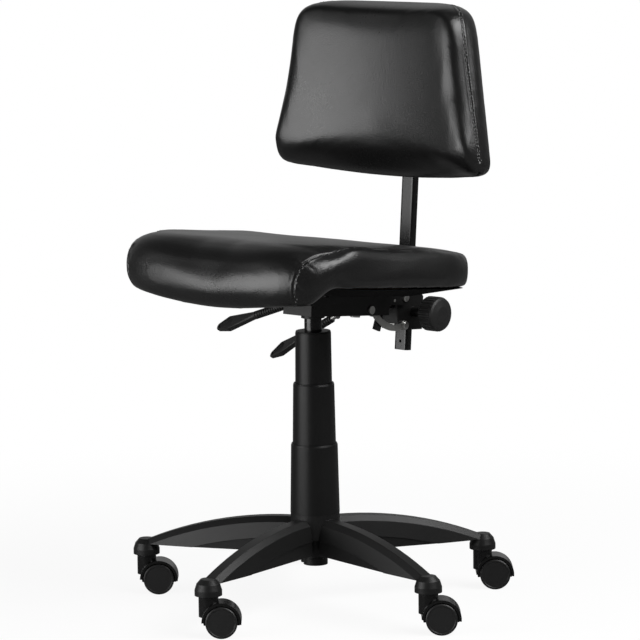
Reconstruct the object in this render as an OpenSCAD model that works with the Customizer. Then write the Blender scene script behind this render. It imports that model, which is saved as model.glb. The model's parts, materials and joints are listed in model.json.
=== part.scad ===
/* [Stance] */
// Direction of the base's first leg, counted from the sitter's left
leg_turn = -83; // [-100:1:-60]
// Direction in which the casters trail behind their stems
caster_turn = 42; // [0:1:359]
// Direction in which the caster of the fourth leg trails
far_caster_turn = 132; // [0:1:359]

/* [Base] */
// Number of legs on the base
leg_count = 5; // [5:1:5]
// Distance of each caster stem from the column's axis
base_r = 290; // [260:1:320]
// Height of the legs' crest beside the hub
base_top_z = 140.5; // [130:0.5:146]
// Radius of the long arch that the legs follow
leg_arch_r = 630; // [600:5:700]
// Distance from the column's axis at which the arch peaks
leg_apex = 40; // [20:1:60]
// Height of the legs' lower edge
leg_under_z = 83.5; // [78:0.5:86]
// Width of a leg across its flat crest
leg_crest_w = 17; // [12:0.5:22]
// Width of a leg at its shoulder ridge
leg_shoulder_w = 31; // [26:0.5:34]
// Width of a leg at its lower edge
leg_low_w = 41; // [38:0.5:46]
// Wall of the base moulding
leg_wall = 3.2; // [2.6:0.1:4]
// Diameter of a caster socket
socket_d = 43; // [40:0.5:46]
// Height of the sockets' lower face
socket_z = 65.5; // [64.5:0.1:68]
// Diameter of the hub
hub_d = 79; // [74:0.5:84]
// Height of the hub's flat top
hub_top_z = 148.5; // [145:0.5:156]
// Diameter of the boss under the hub
boss_d = 36; // [34.5:0.5:40]

/* [Casters] */
// Diameter of the wheels
wheel_d = 50; // [48:0.5:52]
// Width of one wheel
wheel_w = 17; // [15:0.5:19]
// Distance by which a wheel trails behind its stem
caster_trail = 20; // [17:0.5:22]
// Diameter of the caster stem
stem_d = 11; // [10:0.1:11.5]
// Diameter of the wheel axle
axle_d = 8; // [6:0.1:10]
// Thickness of the web between the two wheels
hood_web = 6.4; // [5:0.2:8]
// Thickness of the fender over the wheels
hood_wall = 4.4; // [3.6:0.1:5]

/* [Column] */
// Diameter of the stationary column tube
column_d = 50; // [48:0.5:50.5]
// Height of the column tube's upper end
column_top_z = 300; // [285:1:302]
// Diameter of the gas tube
gas_d = 28; // [27:0.1:28.6]
// Height of the gas tube's foot with the seat at its highest
gas_low_z = 240; // [236:1:250]
// Height of the gas tube's head with the seat at its highest
gas_top_z = 487; // [485:0.5:488]
// Diameter of the piston rod
rod_d = 10; // [8:0.5:12]
// Height of the upper cover's closed top
cover_top_z = 443.6; // [436:0.5:448]
// Length of each telescopic cover
cover_l = 113; // [105:1:118]
// Length of each cover that shows below the next one
cover_show = 98; // [90:1:100]
// Wall of the telescopic covers
cover_wall = 1.3; // [1:0.1:1.5]

/* [Mechanism] */
// Backward slope of the mechanism and the seat
seat_tilt = 5.5; // [3:0.5:8]
// Height of the mechanism's own origin on the column's axis
mech_z = 480; // [479.5:0.5:482]
// Width of the folded housing
housing_w = 60; // [58:1:70]
// Reach of the housing in front of the column's axis
housing_front = 37; // [30:1:45]
// Reach of the housing's deep part behind the column's axis
housing_back = 153; // [148:1:156]
// Sheet thickness of the housing
housing_sheet = 2.5; // [2:0.1:3]
// Diameter of the back's pivot bolt
pivot_d = 10; // [8:0.5:12]
// Diameter of the lock bolt and the lower bracket bolt
bolt_d = 8; // [6:0.5:9]
// Diameter of the round bolt heads
bolt_head_d = 13.5; // [12:0.5:15]
// Width of the seat plate across the chair
plate_w = 165; // [150:1:180]
// Thickness of the seat plate and its side flanges
plate_t = 2.5; // [2:0.1:3]

/* [Levers] */
// Length of a lever's plastic grip
grip_l = 155; // [140:1:170]
// Diameter of the ribbed stem of a grip
grip_d = 13.5; // [12:0.5:15]
// Width of a lever's paddle at its widest
paddle_w = 26; // [22:0.5:30]
// Thickness of a lever's paddle
paddle_t = 9; // [7:0.5:11]
// Downward slope of the lift lever
lift_droop = 18.3; // [12:0.5:24]
// Downward slope of the lock lever
lock_droop = 28.5; // [24:0.5:32]

/* [Backrest bar] */
// Width of the flat steel bar
bar_w = 28; // [24:0.5:30]
// Depth of the flat steel bar
bar_d = 15; // [12:0.5:16]
// Wall of the flat steel bar
bar_wall = 2; // [1.5:0.1:2.5]
// Backward lean of the bar
bar_lean = 4.6; // [3:0.1:7]
// Distance of the bar behind the column's axis at the knob's height
bar_y = 225.4; // [222:0.2:235]
// Height of the knob's axis
knob_z = 451; // [449:0.5:453]
// Length of bar that hangs below the knob's axis
bar_below = 64.5; // [60:0.5:75]
// Length of bar above the knob's axis
bar_above = 372; // [340:1:400]
// Diameter of the clamp knob
knob_d = 57; // [50:1:60]
// Length of the clamp knob's fluted body
knob_l = 33; // [28:1:40]
// Number of flutes round the knob
knob_flutes = 28; // [16:1:32]

/* [Seat] */
// Width of the seat cushion
seat_w = 440; // [420:2:460]
// Length of the seat cushion
seat_l = 436; // [420:2:446]
// Reach of the cushion in front of the column's axis
seat_front = 259; // [250:1:266]
// Height of the seam along the cushion's side above its underside
seat_side_h = 63; // [56:1:70]
// Rise of the cushion's crown above its side seam
seat_crown = 3; // [1:0.5:8]
// Drop of the front roll below the cushion's underside
roll_drop = 44; // [34:1:46]
// Thickness of the seat board
board_t = 15; // [12:0.5:16]

/* [Backrest] */
// Width of the backrest at its lower third
back_w = 424; // [400:2:440]
// Narrowing of the backrest towards its top, as a share of its width
back_taper_share = 0.21; // [0.15:0.01:0.26]
// Height of the backrest
back_h = 284; // [260:2:300]
// Height of the backrest's lower edge along the bar, above the knob's axis
back_low = 228; // [215:1:240]
// Thickness of the pad at its edge
pad_edge = 61; // [50:1:66]
// Rise of the pad's crown in front of its edge
pad_crown = 12; // [6:0.5:18]
// Radius of the backrest's curve round the sitter
back_curve_r = 800; // [700:10:1000]
// Thickness of the back shell
shell_t = 4; // [3:0.2:5]
// Forward turn of the backrest against its bar
back_turn = 3.5; // [0:0.5:5]

/* [Hidden] */

$fn = 64;

// Overrun of every cut
cut = 1;
// Radial clearance of a pin or shaft that turns or slides in its bore
run_gap = 0.05;
// Clearance between flat or soft faces that move past each other
slide_gap = 0.3;

// Base
hub_r = hub_d / 2;
boss_r = boss_d / 2;
boss_ring_r = boss_r + 1.6;
boss_ring_h = 11;
boss_low_z = 63;
boss_neck_z = 104;
hub_skirt_z = 108;
hub_plate = 10.5;
column_seat_z = 141;
column_seat_r = 22.5;
column_neck_r = 15.5;
column_wall = 1.5;
column_foot_z = 64;
column_foot_t = 3;
leg_chamfer = 9;
leg_depth = 64;
leg_ledge = 34;
leg_ledge_in = 1.6;
leg_rib_count = 5;
leg_rib_t = 2.4;
leg_sweep = 34;
leg_sweep_from = 62;
leg_root_w = 46;
leg_tip_w = 39;
nose_z = 91;
nose_flat_r = 12;
nose_slope = 7;
nose_side = 17;
socket_bore_l = 20;

// Casters
far_caster = 3;
wheel_r = wheel_d / 2;
wheel_gap = 0.5;
wheel_hub_r = 7.5;
wheel_rim = 4.5;
wheel_dish = 10;
wheel_face = 3;
wheel_chamfer = 1.5;
wheel_face_r = 21;
wheel_face_step = 0.8;
hood_gap = 1.6;
hood_side = 1.2;
hood_from = -6;
hood_sweep = 186;
neck_r = 15.5;
neck_z = 32;
washer_t = 1.5;
washer_r = 9;
stem_foot_z = 47;

// Column
gas_r = gas_d / 2;
gas_wall = 1.5;
gas_head_t = 9;
gas_taper_l = 29;
gas_head_r = gas_r - 0.7;
gland_l = 10;
rod_r = rod_d / 2;
rod_foot_z = 60.5;
clip_z = 62.3;
clip_t = 1.4;
clip_r = 8.5;
clip_groove = 1;
bearing_z = column_foot_z + column_foot_t;
washer_h = 1.6;
cage_h = 2.2;
bearing_r = 10;
bearing_h = 2 * washer_h + cage_h;
collar_r = 8;
collar_h = 3;
bumper_h = 26;
bumper_r = 11;
piston_z = 252;
piston_l = 12;
piston_pin_r = 3.5;
bush_l = 62;
bush_flange = 3;
bush_relief = 1.4;
pin_r = 4;
pin_rise = 5.5;
pin_foot_z = gas_top_z - gas_head_t - 6;
cover_gap = 0.35;
cover_lip = 2.5;
cover_flange = 1.5;
cover_round = 3;
upper_top_r = 28.75;
upper_low_r = 29.7;
middle_top_r = 33.15;
middle_low_r = 35.05;
lower_top_r = 37.65;
lower_low_r = 39.8;
upper_l = 98.6;
upper_low_z = cover_top_z - upper_l;
lower_top_z = hub_top_z + cover_l;
middle_top_z = lower_top_z + cover_show;
middle_low_z = middle_top_z - cover_l;

// Mechanism, in its own tilted frame
housing_low = -11.5;
housing_top = 26.5;
floor_back = 84;
tongue_w = 36;
tongue_back = 126;
ear_low = 5;
pivot_y = 192;
pivot_h = 17;
ear_r = 12;
lock_y = 107.8;
lock_h = -2.4;
head_t = 4.2;
bush_r = 19;
bush_low_z = 464.5;
bush_top_z = 484.5;
flange_front = -55;
flange_front_h = 11;
flange_deep_y = -30;
flange_deep_h = 2.8;
flange_back = 79;
flange_back_h = 19.2;
plate_front = -62;
plate_bolt_x = 70;
plate_bolt_front = -48;
plate_bolt_back = 66;
plate_bolt_d = 6.4;
plate_corner = 14;
stud_y = 104;
stud_head_r = 9;
stud_head_t = 5;
stud_r = 4;
stud_peen_r = 6;
stud_peen_t = 1.2;
anchor_y = 166;
anchor_r = 2.5;
lug_t = 3;
lug_d = 6;
lug_h = 14;
lug_low = -1;
lever_pin_r = 2.5;
lever_pin_y = -19.4;
lever_pin_over = 0.5;
spacer_r = 8;
spring_r = 8.6;
spring_wire = 2.6;
spring_turns = 6;
spring_pitch = 3.6;
spring_steps = 16;
spring_sides = 6;
spring_leg = 28;
spring_from = -90;
spring_to = 160;
spring_sweep = spring_to + 360 * (spring_turns - 1) - spring_from;
spring_count = ceil(spring_sweep / 360 * spring_steps);
spring_half_l = spring_pitch * spring_sweep / 720;
screw_head_r = 5.5;
screw_head_t = 3.4;
screw_r = 3;

// Levers
lift_x = -26;
lift_y = -20;
lift_z = 488;
lift_blade_t = 3.5;
lift_blade_to = 8;
lift_blade_back = 6;
lift_blade_gap = 1.5;
lock_x = -41;
lock_crank_t = 4;
lock_crank_w = 12;
lock_crank_drop = 14.6;
lock_head_t = 3;
lever_boss_r = 6;
lever_boss_w = 11;
lever_rod_r = 4;
lever_rod_l = 62;
grip_from = 19;
lock_grip_from = 14;
grip_rib = 5.2;
grip_rib_w = 3.2;
grip_rib_depth = 1.3;
grip_stem_share = 0.45;
paddle_root_r = 6;
paddle_tip_r = 7;
paddle_wide_share = 0.72;
paddle_rim = 2.6;
paddle_recess = 3;
paddle_bare_share = 0.5;
lift_twist = 55;
lock_twist = 50;
window_w = 20;
window_low = -7;
window_high = 17;

// Back bracket, sleeve, links and knob, in the bar's leaning frame
bracket_sheet = 3;
sleeve_wall = 3;
sleeve_low = -26;
sleeve_lip_side = 2;
sleeve_lip = 3;
bracket_in = bar_w / 2 + slide_gap + sleeve_wall;
bracket_out = bracket_in + bracket_sheet;
sleeve_half_d = bar_d / 2 + slide_gap + sleeve_wall;
bracket_low = -29.6;
bracket_rear = 22.3;
bracket_top = 31;
bracket_top_front = -17;
bracket_eye_r = 13;
bracket_corner = 6;
web_high = 6;
web_low = -20;
web_front = -36;
link_bolt_v = -25.2;
link_bolt_w = -21.4;
boss_plate_r = 9;
boss_plate_l = 24.5;
link_t = 2.5;
link_in = bracket_out + slide_gap;
link_w = 11;
link_eye_r = 8;
link_arc_r = 70;
link_slot_gap = 0.4;
link_slot_l = 13.5;
link_slot_past = 0.6;
link_head_r = 8;
link_chord = 80;
pad_along = 61;
pad_under = 17;
pad_size = 16;
link_pad_t = 4;
knob_gap = 2;
knob_flute_r = 2.6;
knob_flute_inset = 1;
knob_round = 5;
knob_dome = 2.5;
knob_screw_r = 4;
knob_throat_r = 13;
knob_back_round = 4;
shoe_l = 3;
shoe_gap = 1.6;
bar_round = 5;
stop_hole_d = 5;
stop_hole_rise = 14.3;

// Backrest
shell_gap = 6.1;
back_plate_w = 92;
back_plate_h = 130;
back_plate_t = 3;
back_plate_low = 26;
back_screw_x = 33;
back_screw_rise = 18;
back_screw_r = 3;
shell_boss_r = 9;
shell_share = 0.93;
outline_points = 56;
outline_bunch = 0.5;
back_power_high = 8;
back_power_low = 18;
back_bow = 16;
pad_gap = 0.2;
pad_round = 16;
behind_shares = [1 / 3, 2 / 3];
pad_rear = bar_d / 2 + shell_gap + shell_t + pad_gap;

// Seat
pan_w = 410;
pan_front = -150;
pan_back = 165;
pan_corner = 62;
pan_slope = 68;
pan_wall = 3;
pan_h = 17;
seat_power = 5.2;
seat_edge = 12;
roll_edge = 50;
roll_from = -135;
roll_full = -205;
roll_lift_share = 0.6;
roll_inner = 26;
roll_top_drop = 5;
rear_drop = 11;
rear_drop_to = 175;
edge_power = 0.6;
edge_steps = 8;
crown_steps = 4;

seat_a = seat_w / 2;
seat_b = seat_l / 2;
seat_mid = seat_b - seat_front;
plate_under = housing_top;
pan_under = plate_under + plate_t;
board_under = pan_under + pan_wall;
cushion_under = board_under + board_t;
pan_mid = (pan_front + pan_back) / 2;
anchor_h = pivot_h - spring_r + spring_wire / 2 + anchor_r;
pan_l = pan_back - pan_front;

// World places of the pivot and of the lock bolt, and the link bolt in the bar's frame
pivot_wy = pivot_y * cos(seat_tilt) + pivot_h * sin(seat_tilt);
pivot_wz = mech_z - pivot_y * sin(seat_tilt) + pivot_h * cos(seat_tilt);
lock_wy = lock_y * cos(seat_tilt) + lock_h * sin(seat_tilt);
lock_wz = mech_z - lock_y * sin(seat_tilt) + lock_h * cos(seat_tilt);
pivot_v = (pivot_wy - bar_y) * cos(bar_lean) - (pivot_wz - knob_z) * sin(bar_lean);
pivot_w = (pivot_wy - bar_y) * sin(bar_lean) + (pivot_wz - knob_z) * cos(bar_lean);
link_wy = bar_y + link_bolt_v * cos(bar_lean) + link_bolt_w * sin(bar_lean);
link_wz = knob_z - link_bolt_v * sin(bar_lean) + link_bolt_w * cos(bar_lean);
link_l = norm([lock_wy - link_wy, lock_wz - link_wz]);
link_angle = atan2(lock_wz - link_wz, lock_wy - link_wy);

// Frames: the tilted mechanism, the leaning bar, and caster number i
module in_mech() {
    translate([0, 0, mech_z])
        rotate([-seat_tilt, 0, 0])
            children();
}

module in_bar() {
    translate([0, bar_y, knob_z])
        rotate([-bar_lean, 0, 0])
            children();
}

module at_leg(i) {
    rotate([0, 0, leg_turn + i * 360 / leg_count])
        children();
}

module at_caster(i) {
    a = leg_turn + i * 360 / leg_count;
    translate([base_r * cos(a), base_r * sin(a), 0])
        rotate([0, 0, i == far_caster ? far_caster_turn : caster_turn])
            children();
}

// A bar along X, centred on it
module x_pin(r, from_x, to_x) {
    translate([from_x, 0, 0])
        rotate([0, 90, 0])
            cylinder(r = r, h = to_x - from_x);
}

// A flat sheet across X, drawn in the plane of Y and Z
module x_sheet(from_x, t) {
    translate([from_x, 0, 0])
        rotate([90, 0, 90])
            linear_extrude(t)
                children();
}

// A rectangle with rounded corners
module round_rect(w, l, r) {
    square([w - 2 * r, l], center = true);
    square([w, l - 2 * r], center = true);
    for (x = [-1, 1], y = [-1, 1])
        translate([x * (w / 2 - r), y * (l / 2 - r)])
            circle(r = r);
}

// Leg of the base
module leg_section(inset) {
    crest = leg_crest_w / 2 - inset / 2;
    shoulder = leg_shoulder_w / 2 - inset;
    low = leg_low_w / 2 - inset;
    top = leg_arch_r - inset;
    ledge = leg_arch_r - leg_ledge;
    step = inset > 0 ? 0 : leg_ledge_in;
    foot = leg_arch_r - leg_depth;
    polygon([[top, -crest], [top, crest], [top - leg_chamfer, shoulder], [ledge, low],
        [ledge, low - step], [foot, low - step], [foot, step - low], [ledge, step - low], [ledge, -low],
        [top - leg_chamfer, -shoulder]]);
}

module leg_arch(inset) {
    translate([leg_apex, 0, base_top_z - leg_arch_r])
        rotate([90, 0, 0])
            rotate([0, 0, leg_sweep_from])
                rotate_extrude(angle = leg_sweep, $fn = 180)
                    leg_section(inset);
}

module leg_prism(from_r, to_r, low_z, inset) {
    root = leg_root_w / 2 - inset;
    tip = leg_tip_w / 2 - inset;
    translate([0, 0, low_z])
        linear_extrude(base_top_z + cut - low_z)
            polygon([[from_r, -root], [to_r, -tip], [to_r, tip], [from_r, root]]);
}

// A leg of the base, hollow below, with cross ribs
module leg() {
    root_r = hub_r - leg_wall;
    from_r = hub_r + leg_rib_t;
    to_r = base_r - socket_d / 2 + leg_wall;
    pitch = (to_r - from_r) / leg_rib_count;
    difference() {
        intersection() {
            leg_arch(0);
            leg_prism(root_r, base_r, leg_under_z, 0);
        }
        for (k = [0 : leg_rib_count - 1])
            intersection() {
                leg_arch(leg_wall);
                leg_prism(from_r + k * pitch, from_r + (k + 1) * pitch - leg_rib_t,
                    leg_under_z - cut, leg_wall);
            }
    }
}

module leg_nose() {
    r = socket_d / 2;
    translate([base_r, 0, 0])
        rotate_extrude()
            polygon([[0, socket_z], [r, socket_z], [r, nose_z - nose_side],
                [r - leg_wall, nose_z - nose_slope], [nose_flat_r, nose_z], [0, nose_z]]);
}

// The column tube's outer line inside the hub, also the hub's bore with a gap
module column_seat(gap) {
    rotate_extrude()
        polygon([[0, boss_low_z - cut], [column_neck_r + gap, boss_low_z - cut],
            [column_neck_r + gap, boss_neck_z], [column_seat_r + gap, column_seat_z],
            [column_d / 2 + gap, column_seat_z], [column_d / 2 + gap, hub_top_z + cut],
            [0, hub_top_z + cut]]);
}

module hub() {
    plate_z = hub_top_z - hub_plate;
    ring_z = boss_low_z + boss_ring_h;
    rotate_extrude()
        polygon([[0, boss_low_z], [boss_ring_r, boss_low_z], [boss_ring_r, ring_z], [boss_r, ring_z],
            [boss_r, boss_neck_z], [column_seat_r + leg_wall, plate_z], [hub_r - leg_wall, plate_z],
            [hub_r - leg_wall, hub_skirt_z], [hub_r, hub_skirt_z], [hub_r, hub_top_z], [0, hub_top_z]]);
}

module star_base() {
    color("#1d1d1f")
        difference() {
            union() {
                hub();
                for (i = [0 : leg_count - 1])
                    at_leg(i) {
                        leg();
                        leg_nose();
                    }
            }
            column_seat(run_gap);
            for (i = [0 : leg_count - 1])
                at_leg(i)
                    translate([base_r, 0, socket_z - cut])
                        cylinder(d = stem_d + 2 * run_gap, h = socket_bore_l + cut);
        }
}

// Casters, in the frame of their own stem, trailing along X
module caster_pins() {
    color("silver") {
        translate([0, 0, stem_foot_z])
            cylinder(d = stem_d, h = socket_z + socket_bore_l - run_gap - stem_foot_z);
        translate([0, 0, socket_z - run_gap - washer_t])
            difference() {
                cylinder(r = washer_r, h = washer_t);
                translate([0, 0, -cut])
                    cylinder(d = stem_d, h = washer_t + 2 * cut);
            }
        translate([caster_trail, 0, wheel_r])
            rotate([90, 0, 0])
                cylinder(d = axle_d, h = hood_web + 2 * (wheel_gap + wheel_w - wheel_face), center = true);
    }
}

module wheel_space() {
    space_r = wheel_r + hood_gap;
    for (side = [0, 1])
        mirror([0, side, 0])
            translate([caster_trail, hood_web / 2, wheel_r])
                rotate([-90, 0, 0])
                    cylinder(r = space_r, h = wheel_w + hood_side + cut + wheel_gap);
}

module caster_hood() {
    inner = wheel_r + hood_gap;
    half_w = hood_web / 2 + wheel_gap + wheel_w - hood_side;
    top = socket_z - run_gap - washer_t;
    color("#161618")
        difference() {
            union() {
                translate([caster_trail, 0, wheel_r])
                    rotate([90, 0, 0])
                        rotate([0, 0, hood_from])
                            rotate_extrude(angle = hood_sweep)
                                translate([inner - hood_side, -half_w])
                                    square([hood_wall + hood_side, 2 * half_w]);
                intersection() {
                    translate([caster_trail, 0, wheel_r])
                        rotate([90, 0, 0])
                            cylinder(r = inner + hood_wall / 2, h = hood_web, center = true);
                    translate([-neck_r, -hood_web, wheel_r - wheel_hub_r])
                        cube([2 * neck_r + 2 * caster_trail, 2 * hood_web, socket_z]);
                }
                translate([0, 0, neck_z])
                    cylinder(r = neck_r, h = top - neck_z);
            }
            wheel_space();
            translate([0, 0, stem_foot_z])
                cylinder(d = stem_d, h = socket_z);
            translate([caster_trail, 0, wheel_r])
                rotate([90, 0, 0])
                    cylinder(d = axle_d, h = hood_web + 2 * cut, center = true);
        }
}

module caster_wheel(side) {
    inner = hood_web / 2 + wheel_gap;
    outer = inner + wheel_w;
    bore = axle_d / 2 + run_gap;
    color("#26262a")
        mirror([0, side, 0])
            translate([caster_trail, 0, wheel_r])
                rotate([-90, 0, 0])
                    rotate_extrude()
                        polygon([[bore, inner], [wheel_hub_r, inner], [wheel_hub_r, inner + wheel_dish],
                            [wheel_r - wheel_rim, inner + wheel_dish], [wheel_r - wheel_rim, inner],
                            [wheel_r - wheel_chamfer, inner], [wheel_r, inner + wheel_chamfer],
                            [wheel_r, outer - wheel_chamfer], [wheel_r - wheel_chamfer, outer],
                            [wheel_face_r + wheel_face_step, outer], [wheel_face_r, outer - wheel_face_step],
                            [0, outer - wheel_face_step], [0, outer - wheel_face + run_gap],
                            [bore, outer - wheel_face + run_gap]]);
}

// Column
module column_tube() {
    outer = column_d / 2;
    bore = outer - column_wall;
    color("#2a2a2c")
        difference() {
            rotate_extrude()
                polygon([[rod_r + slide_gap, column_foot_z], [column_neck_r, column_foot_z],
                    [column_neck_r, boss_neck_z], [column_seat_r, column_seat_z],
                    [outer, column_seat_z], [outer, column_top_z], [bore, column_top_z],
                    [bore, column_seat_z + column_wall], [column_seat_r - column_wall, column_seat_z],
                    [column_neck_r - column_wall, boss_neck_z],
                    [column_neck_r - column_wall, bearing_z], [rod_r + slide_gap, bearing_z]]);
        }
}

module guide_bush() {
    outer = column_d / 2 - column_wall;
    bore = gas_r + run_gap;
    foot = column_top_z - bush_l;
    third = bush_l / 3;
    color("#3c3c40")
        rotate_extrude()
            polygon([[bore, foot], [outer, foot], [outer, foot + third], [outer - bush_relief, foot + third],
                [outer - bush_relief, foot + 2 * third], [outer, foot + 2 * third], [outer, column_top_z],
                [column_d / 2, column_top_z], [column_d / 2, column_top_z + bush_flange],
                [bore, column_top_z + bush_flange]]);
}

module ring(inner, outer, low, h) {
    translate([0, 0, low])
        difference() {
            cylinder(r = outer, h = h);
            translate([0, 0, -cut])
                cylinder(r = inner, h = h + 2 * cut);
        }
}

module thrust_bearing() {
    color("#9a9a9c") {
        ring(rod_r + slide_gap, bearing_r, bearing_z, washer_h);
        ring(rod_r + slide_gap, bearing_r - washer_h / 2, bearing_z + washer_h, cage_h);
        ring(rod_r + slide_gap, bearing_r, bearing_z + washer_h + cage_h, washer_h);
    }
}

module piston_rod() {
    collar_z = bearing_z + bearing_h;
    groove_r = rod_r - clip_groove;
    color("#b8b8ba")
        rotate_extrude()
            polygon([[0, rod_foot_z], [rod_r, rod_foot_z], [rod_r, clip_z], [groove_r, clip_z],
                [groove_r, clip_z + clip_t], [rod_r, clip_z + clip_t],
                [rod_r, collar_z], [collar_r, collar_z],
                [collar_r, collar_z + collar_h], [rod_r, collar_z + collar_h], [rod_r, piston_z],
                [piston_pin_r, piston_z], [piston_pin_r, piston_z + piston_l + collar_h],
                [0, piston_z + piston_l + collar_h]]);
}

module piston() {
    r = gas_r - gas_wall - run_gap;
    groove_z = piston_z + piston_l / 3;
    color("#c9c2a8")
        rotate_extrude()
            polygon([[piston_pin_r, piston_z], [r, piston_z], [r, groove_z], [r - cover_wall, groove_z],
                [r - cover_wall, groove_z + piston_l / 3], [r, groove_z + piston_l / 3],
                [r, piston_z + piston_l], [piston_pin_r, piston_z + piston_l]]);
}

module bumper() {
    low = bearing_z + bearing_h + collar_h;
    waist = bumper_r - bush_relief;
    color("#111112")
        rotate_extrude()
            polygon([[rod_r, low], [bumper_r, low], [waist, low + bumper_h / 3],
                [bumper_r, low + 2 * bumper_h / 3], [waist, low + bumper_h], [rod_r, low + bumper_h]]);
}

module rod_clip() {
    groove_r = rod_r - clip_groove;
    color("silver")
        difference() {
            ring(groove_r, clip_r, clip_z, clip_t);
            translate([0, -groove_r, clip_z - cut])
                cube([clip_r + cut, 2 * groove_r, clip_t + 2 * cut]);
        }
}

module gas_tube() {
    bore = gas_r - gas_wall;
    color("#141416")
        rotate_extrude()
            polygon([[bore, gas_low_z], [gas_r, gas_low_z], [gas_r, gas_top_z - gas_taper_l],
                [gas_head_r, gas_top_z], [pin_r + run_gap, gas_top_z],
                [pin_r + run_gap, gas_top_z - gas_head_t], [bore, gas_top_z - gas_head_t]]);
}

module gas_gland() {
    color("#8d7a3d")
        ring(rod_r + run_gap, gas_r - gas_wall, gas_low_z, gland_l);
}

module release_pin() {
    color("silver")
        translate([0, 0, pin_foot_z])
            cylinder(r = pin_r, h = gas_top_z + pin_rise - pin_foot_z);
}

// Telescopic covers: a tapered sleeve with an inward lip above and an outward flange below
module cover(top_r, low_r, low_z, top_z, hole_r, flange_r) {
    rotate_extrude()
        polygon([[low_r - cover_wall, low_z], [flange_r, low_z], [flange_r, low_z + cover_lip],
            [low_r, low_z + cover_lip], [top_r, top_z - cover_round], [top_r - cover_round / 3, top_z],
            [hole_r, top_z], [hole_r, top_z - cover_lip], [top_r - cover_wall, top_z - cover_lip]]);
}

module cover_upper() {
    color("#1f1f22")
        cover(upper_top_r, upper_low_r, upper_low_z, cover_top_z, gas_r + run_gap,
            upper_low_r + cover_flange);
}

module cover_middle() {
    color("#1f1f22")
        cover(middle_top_r, middle_low_r, middle_low_z, middle_top_z, upper_low_r + cover_gap,
            middle_low_r + cover_flange - cover_gap);
}

module cover_lower() {
    color("#1f1f22")
        cover(lower_top_r, lower_low_r, hub_top_z, lower_top_z, middle_low_r + cover_gap, lower_low_r);
}

// Mechanism
module cone_bush() {
    color("#2b2b2d")
        difference() {
            translate([0, 0, bush_low_z])
                cylinder(r = bush_r, h = bush_top_z - bush_low_z);
            translate([0, 0, gas_top_z - gas_taper_l])
                cylinder(r1 = gas_r, r2 = gas_head_r, h = gas_taper_l);
        }
}

module housing_side() {
    difference() {
        union() {
            polygon([[-housing_front, housing_low], [housing_back, housing_low], [housing_back, ear_low],
                [pivot_y, pivot_h - ear_r], [pivot_y, pivot_h + ear_r], [flange_back, housing_top],
                [-housing_front, housing_top]]);
            translate([pivot_y, pivot_h])
                circle(r = ear_r);
        }
        translate([pivot_y, pivot_h])
            circle(d = pivot_d);
        translate([lock_y, lock_h])
            circle(d = bolt_d + 2 * run_gap);
        translate([anchor_y, anchor_h])
            circle(r = anchor_r);
    }
}

module mech_housing() {
    half = housing_w / 2;
    inner = half - housing_sheet;
    color("#1a1a1c")
        difference() {
            in_mech()
                difference() {
                    union() {
                        for (x = [-half, inner])
                            x_sheet(x, housing_sheet)
                                housing_side();
                        translate([-half, -housing_front, housing_low])
                            cube([housing_w, floor_back + housing_front, housing_sheet]);
                        translate([-half, -housing_front, housing_low])
                            cube([housing_w, housing_sheet, housing_top - housing_low]);
                        translate([-tongue_w / 2, 0, housing_low])
                            cube([tongue_w, tongue_back, housing_sheet]);
                        for (side = [-1, 1])
                            translate([-inner, lift_y + side * (window_w + lug_t) / 2 - lug_t / 2, lug_low])
                                cube([inner + lift_x + lug_d, lug_t, lug_h]);
                    }
                    translate([-half - cut, lift_y - window_w / 2, window_low])
                        cube([housing_sheet + 2 * cut, window_w, window_high - window_low]);
                    translate([0, stud_y, housing_low - cut])
                        cylinder(r = stud_r, h = housing_sheet + 2 * cut);
                }
            translate([0, 0, bush_low_z - cut])
                cylinder(r = bush_r, h = bush_top_z - bush_low_z);
            lever_pin(2 * lever_pin_over);
        }
}

// Pin of the lift lever, also the bore for it through the housing's lugs
module lever_pin(over) {
    translate([lift_x, lever_pin_y, lift_z])
        rotate([90, 0, 0])
            cylinder(r = lever_pin_r, h = window_w + 2 * lug_t + over, center = true);
}

module seat_plate() {
    half = housing_w / 2;
    plate_l = flange_back - plate_front;
    color("#1a1a1c")
        in_mech() {
            difference() {
                translate([0, plate_front + plate_l / 2, plate_under])
                    linear_extrude(plate_t)
                        round_rect(plate_w, plate_l, plate_corner);
                for (x = [-plate_bolt_x, plate_bolt_x], y = [plate_bolt_front, plate_bolt_back])
                    translate([x, y, plate_under - cut])
                        cylinder(d = plate_bolt_d, h = plate_t + 2 * cut);
            }
            difference() {
                for (x = [-half - plate_t, half])
                    x_sheet(x, plate_t)
                        polygon([[flange_front, plate_under], [flange_front, flange_front_h],
                            [flange_deep_y, flange_deep_h], [flange_back, flange_back_h],
                            [flange_back, plate_under]]);
                translate([-half - plate_t - cut, lift_y - window_w / 2, window_low])
                    cube([plate_t + 2 * cut, window_w, window_high - window_low]);
            }
        }
}

module seat_screws() {
    color("silver")
        in_mech()
            for (x = [-plate_bolt_x, plate_bolt_x], y = [plate_bolt_front, plate_bolt_back])
                translate([x, y, plate_under]) {
                    translate([0, 0, -screw_head_t])
                        cylinder(r = screw_head_r, h = screw_head_t);
                    cylinder(r = screw_r, h = plate_t + pan_wall + board_t);
                }
}

module pan_outline(inset) {
    translate([0, pan_mid])
        round_rect(pan_w - 2 * inset, pan_l - 2 * inset, pan_corner - inset / 2);
}

// A tray whose sides slope inwards towards its floor
module pan_tray(wall) {
    low = pan_under + wall;
    high = pan_under + pan_h;
    hull() {
        translate([0, 0, low])
            linear_extrude(run_gap)
                pan_outline(pan_slope + wall, $fn = 32);
        translate([0, 0, high - run_gap])
            linear_extrude(run_gap)
                pan_outline(wall, $fn = 32);
    }
}

module plate_holes(low, h, r) {
    for (x = [-plate_bolt_x, plate_bolt_x], y = [plate_bolt_front, plate_bolt_back])
        translate([x, y, low - cut])
            cylinder(r = r, h = h + 2 * cut);
}

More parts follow.
